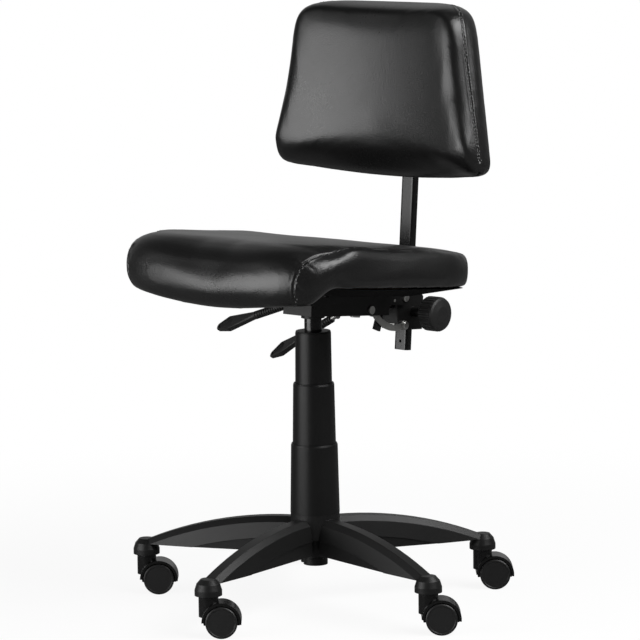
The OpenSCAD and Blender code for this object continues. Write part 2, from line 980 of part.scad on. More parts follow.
module seat_pan() {
    color("#141416")
        in_mech()
            difference() {
                pan_tray(0);
                pan_tray(pan_wall);
                translate([0, 0, pan_under + pan_h - run_gap])
                    linear_extrude(run_gap + cut)
                        pan_outline(pan_wall, $fn = 32);
                plate_holes(pan_under, pan_wall, screw_r);
            }
}

module seat_board() {
    color("burlywood")
        in_mech()
            difference() {
                translate([0, 0, board_under])
                    linear_extrude(board_t)
                        pan_outline(pan_slope + pan_wall + run_gap);
                plate_holes(board_under, board_t, screw_r);
            }
}

// A closed solid through rings of points that all run the same way round
module loft(rings, first, last) {
    n = len(rings[0]);
    top = len(rings) - 1;
    points = concat([first], [for (ring_points = rings) each ring_points], [last]);
    low_fan = [for (i = [0 : n - 1]) [0, 1 + i, 1 + (i + 1) % n]];
    high_fan = [for (i = [0 : n - 1]) [1 + (top + 1) * n, 1 + top * n + (i + 1) % n, 1 + top * n + i]];
    sides = [for (k = [0 : top - 1], i = [0 : n - 1])
        let (a = 1 + k * n + i, b = 1 + k * n + (i + 1) % n)
            each [[a, a + n, b + n], [a, b + n, b]]];
    polyhedron(points, concat(low_fan, sides, high_fan));
}

// Point on a rounded oblong, spaced closer round the corners
function side_of(c) = c < 0 ? -pow(-c, outline_bunch) : pow(c, outline_bunch);

function oblong(t, a, b, power) =
    let (x = side_of(cos(t)), y = side_of(sin(t)))
    let (k = pow(pow(abs(x), power) + pow(abs(y), power), -1 / power))
    [a * x * k, b * y * k];

function smooth(s) = s <= 0 ? 0 : s >= 1 ? 1 : s * s * (3 - 2 * s);

function edge_inset(turn, depth) = depth * (1 - pow(abs(cos(turn)), edge_power));

// The seat cushion's edge: its front share, its lower and upper height, and a point round its roll
function seat_front_share(y) = smooth((roll_from - y) / (roll_from - roll_full));

function seat_low(x, y) =
    cushion_under - roll_drop * seat_front_share(y) * (1 - roll_lift_share * pow(x / seat_a, 2));

function seat_high(y) =
    cushion_under + seat_side_h - roll_top_drop * seat_front_share(y) - rear_drop * smooth(y / rear_drop_to);

function seat_edge_point(t, turn, extra) =
    let (e = oblong(t, seat_a, seat_b, seat_power))
    let (y = e[1] + seat_mid)
    let (f = seat_front_share(y))
    let (inset = edge_inset(turn, seat_edge + (roll_edge - seat_edge) * f) + extra * f)
    let (low = extra > 0 ? cushion_under : seat_low(e[0], y))
    let (mid = (low + seat_high(y)) / 2)
    let (k = 1 - inset / norm(e))
    [e[0] * k, seat_mid + e[1] * k, mid + (seat_high(y) - mid) * sin(turn)];

function seat_top_point(t, share) =
    let (e = seat_edge_point(t, 90, 0))
    [e[0] * share, seat_mid + (e[1] - seat_mid) * share,
        e[2] + (cushion_under + seat_side_h - e[2]) * (1 - share) + seat_crown * (1 - share * share)];

module seat_cushion() {
    step = 360 / outline_points;
    under = [[for (i = [0 : outline_points - 1]) seat_edge_point(i * step, -90, roll_inner)]];
    edge = [for (k = [0 : edge_steps])
        [for (i = [0 : outline_points - 1]) seat_edge_point(i * step, -90 + k * 180 / edge_steps, 0)]];
    crown = [for (k = [1 : crown_steps - 1])
        [for (i = [0 : outline_points - 1]) seat_top_point(i * step, 1 - k / crown_steps)]];
    color("#0e0e10")
        in_mech()
            loft(concat(under, edge, crown), [0, seat_mid, cushion_under],
                [0, seat_mid, cushion_under + seat_side_h + seat_crown]);
}

// Bolts, pins and rivets of the mechanism
module bolt_head(side, x) {
    chamfer = head_t / 3;
    translate([side * x, 0, 0])
        rotate([0, side * 90, 0]) {
            cylinder(d = bolt_head_d, h = head_t - chamfer);
            translate([0, 0, head_t - chamfer])
                cylinder(d1 = bolt_head_d, d2 = bolt_head_d - 2 * chamfer, h = chamfer);
        }
}

module mech_fasteners() {
    half = housing_w / 2;
    inner = half - housing_sheet;
    color("silver") {
        in_mech() {
            translate([0, pivot_y, pivot_h]) {
                x_pin(pivot_d / 2, -half, half);
                for (side = [-1, 1])
                    bolt_head(side, half);
                for (x = [-inner, bracket_out + slide_gap])
                    translate([x, 0, 0])
                        rotate([0, 90, 0])
                            difference() {
                                cylinder(r = spacer_r, h = inner - bracket_out - slide_gap);
                                cylinder(d = pivot_d, h = 3 * half, center = true);
                            }
            }
            translate([0, anchor_y, anchor_h])
                x_pin(anchor_r, -half, half);
            translate([0, stud_y, housing_low]) {
                translate([0, 0, -stud_head_t])
                    cylinder(r1 = stud_head_r - housing_sheet / 2, r2 = stud_head_r, h = stud_head_t);
                cylinder(r = stud_r, h = housing_sheet);
                translate([0, 0, housing_sheet])
                    cylinder(r = stud_peen_r, h = stud_peen_t);
            }
        }
        lever_pin(slide_gap);
    }
}

// Torsion spring round the back's pivot, with a leg at each end
function spring_point(a, along) =
    [along, pivot_y + spring_r * cos(a), pivot_h + spring_r * sin(a)];

function spring_ring(centre, a) =
    [for (k = [0 : spring_sides - 1])
        let (b = k * 360 / spring_sides)
            centre + spring_wire / 2 * [cos(b), cos(a) * sin(b), sin(a) * sin(b)]];

function spring_angle(k) = spring_from + k * spring_sweep / spring_count;

function spring_place(k) =
    spring_point(spring_angle(k), spring_half_l * (2 * k / spring_count - 1));

function spring_leg_place(k, reach) =
    spring_place(k) + reach * [0, -sin(spring_angle(k)), cos(spring_angle(k))];

// Centre line of the spring with both legs, and its least gap to itself half a turn or more away
function spring_course() = concat(
    [for (k = [spring_steps : -1 : 1]) spring_leg_place(0, -spring_leg * k / spring_steps)],
    [for (k = [0 : spring_count]) spring_place(k)],
    [for (k = [1 : spring_steps]) spring_leg_place(spring_count, spring_leg * k / spring_steps)]);

function least_gap(course, wire, apart) =
    min([for (i = [0 : len(course) - 1 - apart], j = [i + apart : len(course) - 1])
        norm(course[i] - course[j])]) - wire;

echo(spring_least_gap = least_gap(spring_course(), spring_wire, spring_steps / 2));

module back_spring() {
    first = spring_leg_place(0, -spring_leg);
    last = spring_leg_place(spring_count, spring_leg);
    coil = [for (k = [0 : spring_count]) spring_ring(spring_place(k), spring_angle(k))];
    color("#55555a")
        in_mech()
            loft(concat([spring_ring(first, spring_from)], coil,
                [spring_ring(last, spring_angle(spring_count))]), first, last);
}

// Levers, drawn outwards along X and hung on the chair's right-hand side
module in_lever(place, droop) {
    translate(place)
        rotate([0, -droop, 0])
            mirror([1, 0, 0])
                children();
}

module lift_lever_rod() {
    boss = [lift_x, lift_y, lift_z];
    blade_z = gas_top_z + pin_rise + run_gap;
    blade_wide_x = lift_x + lug_d + lift_blade_gap;
    color("#b4b4b8")
        difference() {
            union() {
                translate(boss)
                    rotate([90, 0, 0])
                        cylinder(r = lever_boss_r, h = lever_boss_w, center = true);
                translate([lift_x, lift_y - lever_boss_w / 2, blade_z])
                    cube([lift_blade_to - lift_x, lever_boss_w, lift_blade_t]);
                translate([blade_wide_x, lift_y, blade_z])
                    cube([lift_blade_to - blade_wide_x, lift_blade_back - lift_y, lift_blade_t]);
                translate([lift_x, lift_y - lever_boss_w / 2, lift_z])
                    cube([lever_boss_r, lever_boss_w, blade_z - lift_z]);
                in_lever(boss, lift_droop)
                    x_pin(lever_rod_r, 0, lever_rod_l);
            }
            translate(boss)
                rotate([90, 0, 0])
                    cylinder(r = lever_pin_r + run_gap, h = 2 * lever_boss_w, center = true);
        }
}

module grip(from_x, twist) {
    stem_l = grip_l * grip_stem_share;
    rib_n = floor(stem_l / grip_rib);
    paddle_l = grip_l - stem_l;
    wide_x = from_x + stem_l + paddle_l * paddle_wide_share - paddle_w / 4;
    tip_x = from_x + grip_l - paddle_tip_r;
    root_x = from_x + stem_l - paddle_root_r;
    color("#121214")
        difference() {
            union() {
                x_pin(grip_d / 2 - grip_rib_depth, from_x, from_x + stem_l);
                for (k = [0 : rib_n - 1])
                    x_pin(grip_d / 2, from_x + k * grip_rib, from_x + k * grip_rib + grip_rib_w);
                rotate([twist, 0, 0])
                    difference() {
                        hull() {
                            translate([root_x, 0, 0])
                                sphere(r = paddle_root_r, $fn = 24);
                            for (z = [-1, 1])
                                translate([wide_x, 0, z * (paddle_t / 4)])
                                    cylinder(d = paddle_w - abs(z) * paddle_t / 4, h = paddle_t / 2,
                                        center = true, $fn = 32);
                            translate([tip_x, 0, 0])
                                cylinder(r = paddle_tip_r, h = paddle_t * paddle_bare_share,
                                    center = true, $fn = 32);
                        }
                        translate([0, 0, paddle_t / 2 - paddle_recess])
                            linear_extrude(paddle_t)
                                hull() {
                                    translate([wide_x, 0])
                                        circle(d = paddle_w - 3 * paddle_rim, $fn = 32);
                                    translate([tip_x - paddle_rim, 0])
                                        circle(r = paddle_tip_r - paddle_rim, $fn = 32);
                                }
                    }
            }
            x_pin(lever_rod_r, 0, lever_rod_l);
        }
}

module lift_lever_grip() {
    in_lever([lift_x, lift_y, lift_z], lift_droop)
        grip(grip_from, lift_twist);
}

module lock_lever_rod() {
    end_x = housing_w / 2 + run_gap;
    color("#b4b4b8") {
        translate([0, lock_wy, lock_wz]) {
            x_pin(bolt_d / 2, lock_x, end_x);
            x_pin(bolt_head_d / 2, end_x, end_x + lock_head_t);
            x_sheet(lock_x - lock_crank_t, lock_crank_t)
                union() {
                    circle(d = lock_crank_w);
                    translate([-lock_crank_w / 2, -lock_crank_drop])
                        square([lock_crank_w, lock_crank_drop]);
                    translate([0, -lock_crank_drop])
                        circle(d = lock_crank_w);
                }
        }
        in_lever([lock_x - lock_crank_t / 2, lock_wy, lock_wz - lock_crank_drop], lock_droop)
            x_pin(lever_rod_r, 0, lever_rod_l);
    }
}

module lock_lever_grip() {
    in_lever([lock_x - lock_crank_t / 2, lock_wy, lock_wz - lock_crank_drop], lock_droop)
        grip(lock_grip_from, lock_twist);
}

// Back bracket in the bar's frame
module bracket_side() {
    top = pivot_w + bracket_eye_r;
    difference() {
        union() {
            polygon([[pivot_v - bracket_eye_r, pivot_w], [web_front, web_low],
                [link_bolt_v - bracket_corner, bracket_low], [bracket_rear, bracket_low],
                [bracket_rear, bracket_top - bracket_corner], [bracket_rear - bracket_corner, bracket_top],
                [bracket_top_front, bracket_top], [pivot_v + bracket_corner, top], [pivot_v, top]]);
            translate([pivot_v, pivot_w])
                circle(r = bracket_eye_r);
        }
        translate([pivot_v, pivot_w])
            circle(d = pivot_d + 2 * run_gap);
        translate([link_bolt_v, link_bolt_w])
            circle(d = bolt_d);
    }
}

module back_bracket() {
    color("#19191b")
        in_bar()
            difference() {
                union() {
                    for (x = [-bracket_out, bracket_in])
                        x_sheet(x, bracket_sheet)
                            bracket_side();
                    translate([-bracket_in, web_front, web_low])
                        cube([2 * bracket_in, bracket_sheet, web_high - web_low]);
                    x_pin(boss_plate_r, bracket_out, bracket_out + boss_plate_l);
                }
                x_pin(knob_screw_r + run_gap, bracket_in - cut, bracket_out + boss_plate_l + cut);
            }
}

module sleeve_ring(low, h, half_w, half_d) {
    inner_w = bar_w + 2 * slide_gap;
    inner_d = bar_d + 2 * slide_gap;
    translate([0, 0, low])
        linear_extrude(h)
            difference() {
                square([2 * half_w, 2 * half_d], center = true);
                round_rect(inner_w, inner_d, bar_round + slide_gap);
            }
}

module guide_sleeve() {
    color("#101012")
        in_bar()
            difference() {
                union() {
                    sleeve_ring(sleeve_low, bracket_top - sleeve_low, bracket_in, sleeve_half_d);
                    sleeve_ring(bracket_top, sleeve_lip, bracket_out, sleeve_half_d + sleeve_lip_side);
                }
                x_pin(knob_screw_r + run_gap, 0, bracket_out);
            }
}

module bracket_fasteners() {
    link_out = link_in + link_t + slide_gap;
    color("silver")
        in_bar()
            translate([0, link_bolt_v, link_bolt_w]) {
                x_pin(bolt_d / 2, -bracket_out, link_out);
                bolt_head(-1, bracket_out);
                bolt_head(1, link_out);
            }
}

// Friction link, drawn from the lower bracket bolt towards the lock bolt
module link_outline() {
    half = link_w / 2;
    rise = sqrt(pow(link_arc_r, 2) - pow(link_chord / 2, 2));
    slot_r = bolt_d / 2 + link_slot_gap;
    slot_from = link_l - link_slot_l;
    slot_to = link_l + link_slot_past;
    difference() {
        union() {
            circle(r = link_eye_r);
            translate([link_chord / 2, -rise])
                intersection() {
                    difference() {
                        circle(r = link_arc_r + half);
                        circle(r = link_arc_r - half);
                    }
                    polygon([[0, 0], [link_chord, 2 * rise], [-link_chord, 2 * rise]]);
                }
            translate([slot_from, 0])
                circle(r = link_head_r);
            translate([slot_to, 0])
                circle(r = link_head_r);
            translate([slot_from, -link_head_r])
                square([slot_to - slot_from, 2 * link_head_r]);
        }
        circle(d = bolt_d + 2 * run_gap);
        translate([slot_from, 0])
            circle(r = slot_r);
        translate([slot_to, 0])
            circle(r = slot_r);
        translate([slot_from, -slot_r])
            square([slot_to - slot_from, 2 * slot_r]);
    }
}

module lock_link() {
    color("#8f9296")
        x_sheet(link_in, link_t)
            translate([link_wy, link_wz])
                rotate(link_angle)
                    link_outline();
}

module link_pad() {
    color("#131315")
        x_sheet(link_in - link_pad_t, link_pad_t)
            translate([link_wy, link_wz])
                rotate(link_angle)
                    translate([pad_along, pad_under])
                        square(pad_size, center = true);
}

// Backrest bar and what it carries
module back_bar() {
    hole_w = -bar_below + stop_hole_rise;
    color("#161618")
        in_bar()
            difference() {
                translate([0, 0, -bar_below])
                    linear_extrude(bar_below + bar_above)
                        difference() {
                            round_rect(bar_w, bar_d, bar_round);
                            round_rect(bar_w - 2 * bar_wall, bar_d - 2 * bar_wall, bar_round - bar_wall);
                        }
                translate([0, 0, hole_w])
                    rotate([90, 0, 0])
                        cylinder(d = stop_hole_d, h = bar_d);
            }
}

// The four screw places of the back plate, looking forwards along Z
module at_back_screws() {
    low = back_low + back_plate_low;
    for (x = [-back_screw_x, back_screw_x])
        for (y = [low + back_screw_rise, low + back_plate_h - back_screw_rise])
            translate([x, y, 0])
                children();
}

module facing_forwards() {
    in_bar()
        rotate([90, 0, 0])
            children();
}

module back_plate() {
    color("#1b1b1d")
        facing_forwards()
            difference() {
                translate([0, back_low + back_plate_low + back_plate_h / 2, bar_d / 2])
                    linear_extrude(back_plate_t)
                        round_rect(back_plate_w, back_plate_h, plate_corner);
                at_back_screws()
                    cylinder(r = back_screw_r, h = bar_d + shell_gap);
            }
}

function shell_rear(y) = bar_d / 2 + shell_gap + (y - back_low) * tan(back_turn);

module back_screws() {
    low = back_low + back_plate_low + back_screw_rise;
    color("silver")
        facing_forwards()
            for (x = [-back_screw_x, back_screw_x], y = [low, low + back_plate_h - 2 * back_screw_rise])
                translate([x, y, bar_d / 2]) {
                    translate([0, 0, -screw_head_t])
                        cylinder(r = screw_head_r, h = screw_head_t);
                    cylinder(r = back_screw_r, h = shell_rear(y) - bar_d / 2 + shell_t / 2);
                }
}

// The shell and the pad, turned forwards about the pad's lower edge
module turned_back() {
    translate([0, back_low, 0])
        rotate([back_turn, 0, 0])
            translate([0, -back_low, 0])
                children();
}

// Point on the backrest's outline, wider below, with a bowed lower edge
function back_outline(t, share) =
    let (e = oblong(t, back_w / 2, back_h / 2, sin(t) < 0 ? back_power_low : back_power_high))
    let (s = (e[1] / back_h + 0.5))
    let (bow = e[1] < 0 ? back_bow * (1 - pow(2 * e[0] / back_w, 2)) * -2 * e[1] / back_h : 0)
    [e[0] * (1 - back_taper_share * s) * share, back_low + back_bow + (back_h - back_bow) / 2
        + (e[1] * (back_h - back_bow) / back_h - bow) * share];

function back_sag(x) = back_curve_r - sqrt(pow(back_curve_r, 2) - x * x);

module shell_sheet() {
    step = 360 / outline_points;
    rear = bar_d / 2 + shell_gap;
    tall = 2 * (back_low + back_h);
    intersection() {
        linear_extrude(rear + pad_edge)
            polygon([for (i = [0 : outline_points - 1]) back_outline(i * step, shell_share)]);
        translate([0, 0, rear + shell_t + back_curve_r])
            rotate([-90, 0, 0])
                difference() {
                    cylinder(r = back_curve_r + shell_t, h = tall, $fn = 360);
                    translate([0, 0, -cut])
                        cylinder(r = back_curve_r, h = tall + 2 * cut, $fn = 360);
                }
    }
}

module back_shell() {
    low = back_low + back_plate_low + back_screw_rise;
    high = low + back_plate_h - 2 * back_screw_rise;
    boss_from = bar_d / 2 + back_plate_t;
    color("#151517")
        facing_forwards()
            difference() {
                union() {
                    turned_back()
                        shell_sheet();
                    for (x = [-back_screw_x, back_screw_x], y = [low, high])
                        translate([x, y, boss_from])
                            cylinder(r = shell_boss_r, h = shell_rear(y) - boss_from + shell_t / 2);
                }
                at_back_screws()
                    cylinder(r = back_screw_r, h = shell_rear(low + back_plate_h) + shell_t / 2);
            }
}

function pad_edge_point(t, turn) =
    let (e = back_outline(t, 1))
    let (middle = [0, back_low + back_bow + (back_h - back_bow) / 2])
    let (k = 1 - edge_inset(turn, pad_round) / norm(e - middle))
    let (p = middle + (e - middle) * k)
    [p[0], p[1], pad_rear + back_sag(p[0]) + pad_edge * (1 + sin(turn)) / 2];

function pad_front_point(t, share) =
    let (e = back_outline(t, 1))
    let (middle = [0, back_low + back_bow + (back_h - back_bow) / 2])
    let (p = middle + (pad_edge_flat(e, middle)) * share)
    [p[0], p[1], pad_rear + back_sag(p[0]) + pad_edge + pad_crown * (1 - share * share)];

function pad_edge_flat(e, middle) = (e - middle) * (1 - pad_round / norm(e - middle));

module back_pad() {
    step = 360 / outline_points;
    middle = back_low + back_bow + (back_h - back_bow) / 2;
    behind = [for (share = behind_shares)
        [for (i = [0 : outline_points - 1])
            let (e = pad_edge_point(i * step, -90))
                [e[0] * share, middle + (e[1] - middle) * share, pad_rear + back_sag(e[0] * share)]]];
    edge = [for (k = [0 : edge_steps])
        [for (i = [0 : outline_points - 1]) pad_edge_point(i * step, -90 + k * 180 / edge_steps)]];
    front = [for (k = [1 : crown_steps - 1])
        [for (i = [0 : outline_points - 1]) pad_front_point(i * step, 1 - k / crown_steps)]];
    color("#0d0d0f")
        facing_forwards()
            turned_back()
                loft(concat(behind, edge, front), [0, middle, pad_rear],
                    [0, middle, pad_rear + pad_edge + pad_crown]);
}

// Clamp knob, its screw and its pressure shoe, on an axis across the bar
module clamp_knob() {
    r = knob_d / 2;
    low = bracket_out + boss_plate_l + knob_gap;
    color("#0f0f11")
        in_bar()
            translate([low, 0, 0])
                rotate([0, 90, 0])
                    difference() {
                        rotate_extrude()
                            polygon([[knob_screw_r, 0], [knob_throat_r, 0], [r - knob_back_round, knob_dome],
                                [r, knob_dome + knob_back_round], [r, knob_l - knob_round],
                                [r - knob_round / 3, knob_l - knob_round / 3], [r - knob_round, knob_l],
                                [knob_throat_r, knob_l + knob_dome], [0, knob_l + knob_dome],
                                [0, knob_l - knob_round], [knob_screw_r, knob_l - knob_round]]);
                        for (i = [0 : knob_flutes - 1])
                            rotate([0, 0, i * 360 / knob_flutes])
                                translate([r + knob_flute_r - knob_flute_inset, 0, -cut])
                                    cylinder(r = knob_flute_r, h = knob_l + 2 * cut);
                    }
}

module clamp_screw() {
    from_x = bar_w / 2 + run_gap + shoe_l + shoe_gap;
    to_x = bracket_out + boss_plate_l + knob_gap + knob_l - knob_round;
    color("silver")
        in_bar()
            x_pin(knob_screw_r, from_x, to_x);
}

module clamp_shoe() {
    from_x = bar_w / 2 + run_gap;
    color("#b08d3c")
        in_bar()
            x_pin(knob_screw_r, from_x, from_x + shoe_l);
}

star_base();
column_tube();
guide_bush();
thrust_bearing();
cover_lower();
cover_middle();
cover_upper();
piston_rod();
piston();
bumper();
rod_clip();
gas_tube();
gas_gland();
release_pin();
cone_bush();
mech_housing();
seat_plate();
seat_screws();
seat_board();
seat_pan();
seat_cushion();
mech_fasteners();
back_spring();
lift_lever_rod();
lift_lever_grip();
lock_lever_rod();
lock_lever_grip();
back_bracket();
guide_sleeve();
bracket_fasteners();
lock_link();
link_pad();
back_bar();
back_plate();
back_screws();
back_shell();
back_pad();
clamp_knob();
clamp_screw();
clamp_shoe();
at_caster(0) caster_pins();  // caster_1_pins
at_caster(0) caster_hood();  // caster_1_hood
at_caster(0) caster_wheel(0);  // caster_1_wheel_left
at_caster(0) caster_wheel(1);  // caster_1_wheel_right
at_caster(1) caster_pins();  // caster_2_pins
at_caster(1) caster_hood();  // caster_2_hood
at_caster(1) caster_wheel(0);  // caster_2_wheel_left
at_caster(1) caster_wheel(1);  // caster_2_wheel_right
at_caster(2) caster_pins();  // caster_3_pins
at_caster(2) caster_hood();  // caster_3_hood
at_caster(2) caster_wheel(0);  // caster_3_wheel_left
at_caster(2) caster_wheel(1);  // caster_3_wheel_right
at_caster(3) caster_pins();  // caster_4_pins
at_caster(3) caster_hood();  // caster_4_hood
at_caster(3) caster_wheel(0);  // caster_4_wheel_left
at_caster(3) caster_wheel(1);  // caster_4_wheel_right
at_caster(4) caster_pins();  // caster_5_pins
at_caster(4) caster_hood();  // caster_5_hood
at_caster(4) caster_wheel(0);  // caster_5_wheel_left
at_caster(4) caster_wheel(1);  // caster_5_wheel_right
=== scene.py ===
"""Looks of an office chair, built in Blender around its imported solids.

Every size is in metres, in the row frame of the solids: origin on the column's axis at
the floor, +X to the sitter's left, +Y to the back of the chair, +Z up.
"""

import json
import logging
import math
from dataclasses import dataclass, field
from enum import Enum
from typing import Any, Dict, List, Optional, Sequence, Tuple, Union

import bmesh
import bpy
import numpy as np
from mathutils import Matrix, Vector
from mathutils.bvhtree import BVHTree
from mathutils.kdtree import KDTree


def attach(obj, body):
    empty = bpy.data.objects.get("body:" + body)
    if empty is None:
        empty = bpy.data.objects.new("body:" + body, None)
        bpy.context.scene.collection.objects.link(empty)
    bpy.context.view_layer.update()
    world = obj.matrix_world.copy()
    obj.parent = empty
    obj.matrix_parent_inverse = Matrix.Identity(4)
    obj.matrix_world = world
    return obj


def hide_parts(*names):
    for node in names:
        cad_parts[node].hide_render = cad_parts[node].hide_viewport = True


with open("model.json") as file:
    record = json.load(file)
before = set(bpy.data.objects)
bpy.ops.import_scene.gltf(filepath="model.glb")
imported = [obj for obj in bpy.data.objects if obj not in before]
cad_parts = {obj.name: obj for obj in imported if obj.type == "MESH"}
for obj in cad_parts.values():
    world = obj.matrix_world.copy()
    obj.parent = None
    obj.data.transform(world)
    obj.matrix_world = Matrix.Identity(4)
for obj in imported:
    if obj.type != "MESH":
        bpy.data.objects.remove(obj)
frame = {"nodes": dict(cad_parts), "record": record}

LOG = logging.getLogger("chair")
MM = 0.001
TINY = 1e-6
Triple = Tuple[float, float, float]
Colour = Tuple[float, float, float, float]
Value = Union[float, "Sock"]
Sockets = Dict[Union[str, int], Any]


class Slot(Enum):
    """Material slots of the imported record."""

    BASE = "base_plastic"
    COVER = "cover_plastic"
    MOULDED = "moulded_plastic"
    HOOD = "hood_plastic"
    WHEEL = "wheel_plastic"
    GUIDE = "guide_plastic"
    BLACK_METAL = "black_metal"
    ENAMEL = "gloss_metal"
    STEEL = "bright_steel"
    SPRING = "spring_steel"
    BRASS = "brass"
    RUBBER = "bumper_rubber"
    PLYWOOD = "plywood"
    LEATHER = "leather"


def shade(level: float, tint: Triple = (1.0, 1.0, 1.0)) -> Colour:
    """Grey of a linear level from 0 to 1, multiplied by a tint."""
    return (level * tint[0], level * tint[1], level * tint[2], 1.0)


@dataclass(frozen=True)
class Sock:
    """A number socket that takes part in Python arithmetic by adding Math nodes."""

    graph: "Graph"
    out: bpy.types.NodeSocket

    def _join(self, operation: str, first: Value, second: Value) -> "Sock":
        """Add one Math node with two operands."""
        return self.graph.pick("ShaderNodeMath", {"operation": operation}, {0: first, 1: second})

    def __add__(self, other: Value) -> "Sock":
        """Sum."""
        return self._join("ADD", self, other)

    def __radd__(self, other: Value) -> "Sock":
        """Sum with the socket on the right."""
        return self._join("ADD", other, self)

    def __sub__(self, other: Value) -> "Sock":
        """Difference."""
        return self._join("SUBTRACT", self, other)

    def __rsub__(self, other: Value) -> "Sock":
        """Difference with the socket on the right."""
        return self._join("SUBTRACT", other, self)

    def __mul__(self, other: Value) -> "Sock":
        """Product."""
        return self._join("MULTIPLY", self, other)

    def __rmul__(self, other: Value) -> "Sock":
        """Product with the socket on the right."""
        return self._join("MULTIPLY", other, self)

    def highest(self, other: Value) -> "Sock":
        """The larger of two values."""
        return self._join("MAXIMUM", self, other)

    def step(self, low: float, high: float) -> "Sock":
        """Smooth step from 0 at low to 1 at high."""
        sockets = {"Value": self, "From Min": low, "From Max": high}
        return self.graph.pick("ShaderNodeMapRange", {"interpolation_type": "SMOOTHSTEP"}, sockets)


class Graph:
    """Node tree of one material or of the world.

    Attributes:
        EDGE_SAMPLES: Rays that look for an edge.
        MIX_FIRST: Colour input of a Mix node.
        MIX_SECOND: Its other colour input.
        MIX_RESULT: Its colour output.
    """

    EDGE_SAMPLES = 6
    MIX_FIRST, MIX_SECOND, MIX_RESULT = 6, 7, 2

    def __init__(self, tree: bpy.types.NodeTree) -> None:
        """Empty the tree.

        Args:
            tree: Node tree to build in.
        """
        self.tree = tree
        tree.nodes.clear()

    def node(
        self,
        kind: str,
        settings: Optional[Dict[str, Any]] = None,
        sockets: Optional[Sockets] = None,
    ) -> bpy.types.Node:
        """Add any node.

        Args:
            kind: Node type.
            settings: Properties of the node, set first.
            sockets: Values or links of its inputs, by name or index.

        Returns:
            The new node.
        """
        made = self.tree.nodes.new(kind)
        for name, value in (settings or {}).items():
            setattr(made, name, value)
        for name, value in (sockets or {}).items():
            if isinstance(value, Sock):
                self.tree.links.new(value.out, made.inputs[name])
            else:
                made.inputs[name].default_value = value
        return made

    def pick(
        self,
        kind: str,
        settings: Optional[Dict[str, Any]] = None,
        sockets: Optional[Sockets] = None,
        output: Union[str, int] = 0,
    ) -> Sock:
        """Add a node and return one of its outputs as a socket for arithmetic."""
        return Sock(self, self.node(kind, settings, sockets).outputs[output])

    def place(self, stretch: Triple = (1.0, 1.0, 1.0)) -> Sock:
        """Object coordinates, stretched along each axis."""
        coords = self.pick("ShaderNodeTexCoord", output="Object")
        return self.pick("ShaderNodeMapping", None, {"Vector": coords, "Scale": stretch})

    def noise(self, at: Sock, per_metre: float, detail: float = 3.0, rough: float = 0.5) -> Sock:
        """Noise from 0 to 1 with a number of features per metre."""
        sockets = {"Vector": at, "Scale": per_metre, "Detail": detail, "Roughness": rough}
        return self.pick("ShaderNodeTexNoise", {"noise_dimensions": "3D"}, sockets, "Fac")

    def cells(self, at: Sock, per_metre: float, blur: float) -> Sock:
        """Blurred distance to the nearest cell centre."""
        sockets = {"Vector": at, "Scale": per_metre, "Smoothness": blur}
        return self.pick("ShaderNodeTexVoronoi", {"feature": "SMOOTH_F1"}, sockets, "Distance")

    def blend(self, share: Value, first: Any, second: Any) -> Sock:
        """Mix two colours by the share of the second."""
        sockets = {"Factor": share, self.MIX_FIRST: first, self.MIX_SECOND: second}
        return self.pick("ShaderNodeMix", {"data_type": "RGBA"}, sockets, self.MIX_RESULT)

    def soft_edge(self, radius: float) -> Sock:
        """Normal that rounds the edges of a solid."""
        return self.pick("ShaderNodeBevel", {"samples": self.EDGE_SAMPLES}, {"Radius": radius})

    def bump(
        self, height: Sock, deep: float, strength: float, under: Optional[Sock] = None
    ) -> Sock:
        """Normal from a height field.

        Args:
            height: Height from 0 to 1.
            deep: Depth of the field, in metres.
            strength: Share of the effect.
            under: Normal that it lies on.

        Returns:
            The new normal.
        """
        sockets: Sockets = {"Strength": strength, "Distance": deep, "Height": height}
        if under is not None:
            sockets["Normal"] = under
        return self.pick("ShaderNodeBump", None, sockets)

    def rays(self) -> Tuple[Sock, Sock]:
        """Tell what a ray is for.

        Returns:
            Whether it is the camera's, and whether it is mirrored or seen through glass.
        """
        path = self.node("ShaderNodeLightPath")
        camera, glossy, through = (
            Sock(self, path.outputs[f"Is {name} Ray"])
            for name in ("Camera", "Glossy", "Transmission")
        )
        return camera, glossy.highest(through)


@dataclass(frozen=True)
class Finish:
    """Base of every finish: one principled surface with its fixed sockets.

    Attributes:
        name: Name of the material.
        tone: Its colour.
        rough: Roughness.
        gloss_level: Level of the plain reflection.
        metal: Share of metal.
        edge: Radius to which sharp edges are rounded.
    """

    name: str
    tone: Colour
    rough: float
    gloss_level: float = 0.5
    metal: float = 0.0
    edge: float = 0.5 * MM

    def build(self) -> bpy.types.Material:
        """Make the material.

        Returns:
            The finished material.
        """
        made = bpy.data.materials.new(self.name)
        made.use_nodes = True
        graph = Graph(made.node_tree)
        sockets: Sockets = {"Metallic": self.metal, "Specular IOR Level": self.gloss_level}
        sockets.update(self.detail(graph))
        surface = graph.pick("ShaderNodeBsdfPrincipled", None, sockets)
        graph.node("ShaderNodeOutputMaterial", None, {"Surface": surface})
        return made

    def toned(self, times: float) -> Colour:
        """Grey of the finish, times a factor."""
        return shade(self.tone[0] * times)

    def detail(self, graph: Graph) -> Sockets:
        """Variation of the finish.

        Args:
            graph: Node graph of the material.

        Returns:
            Colour, roughness and normal of the surface.
        """
        raise NotImplementedError


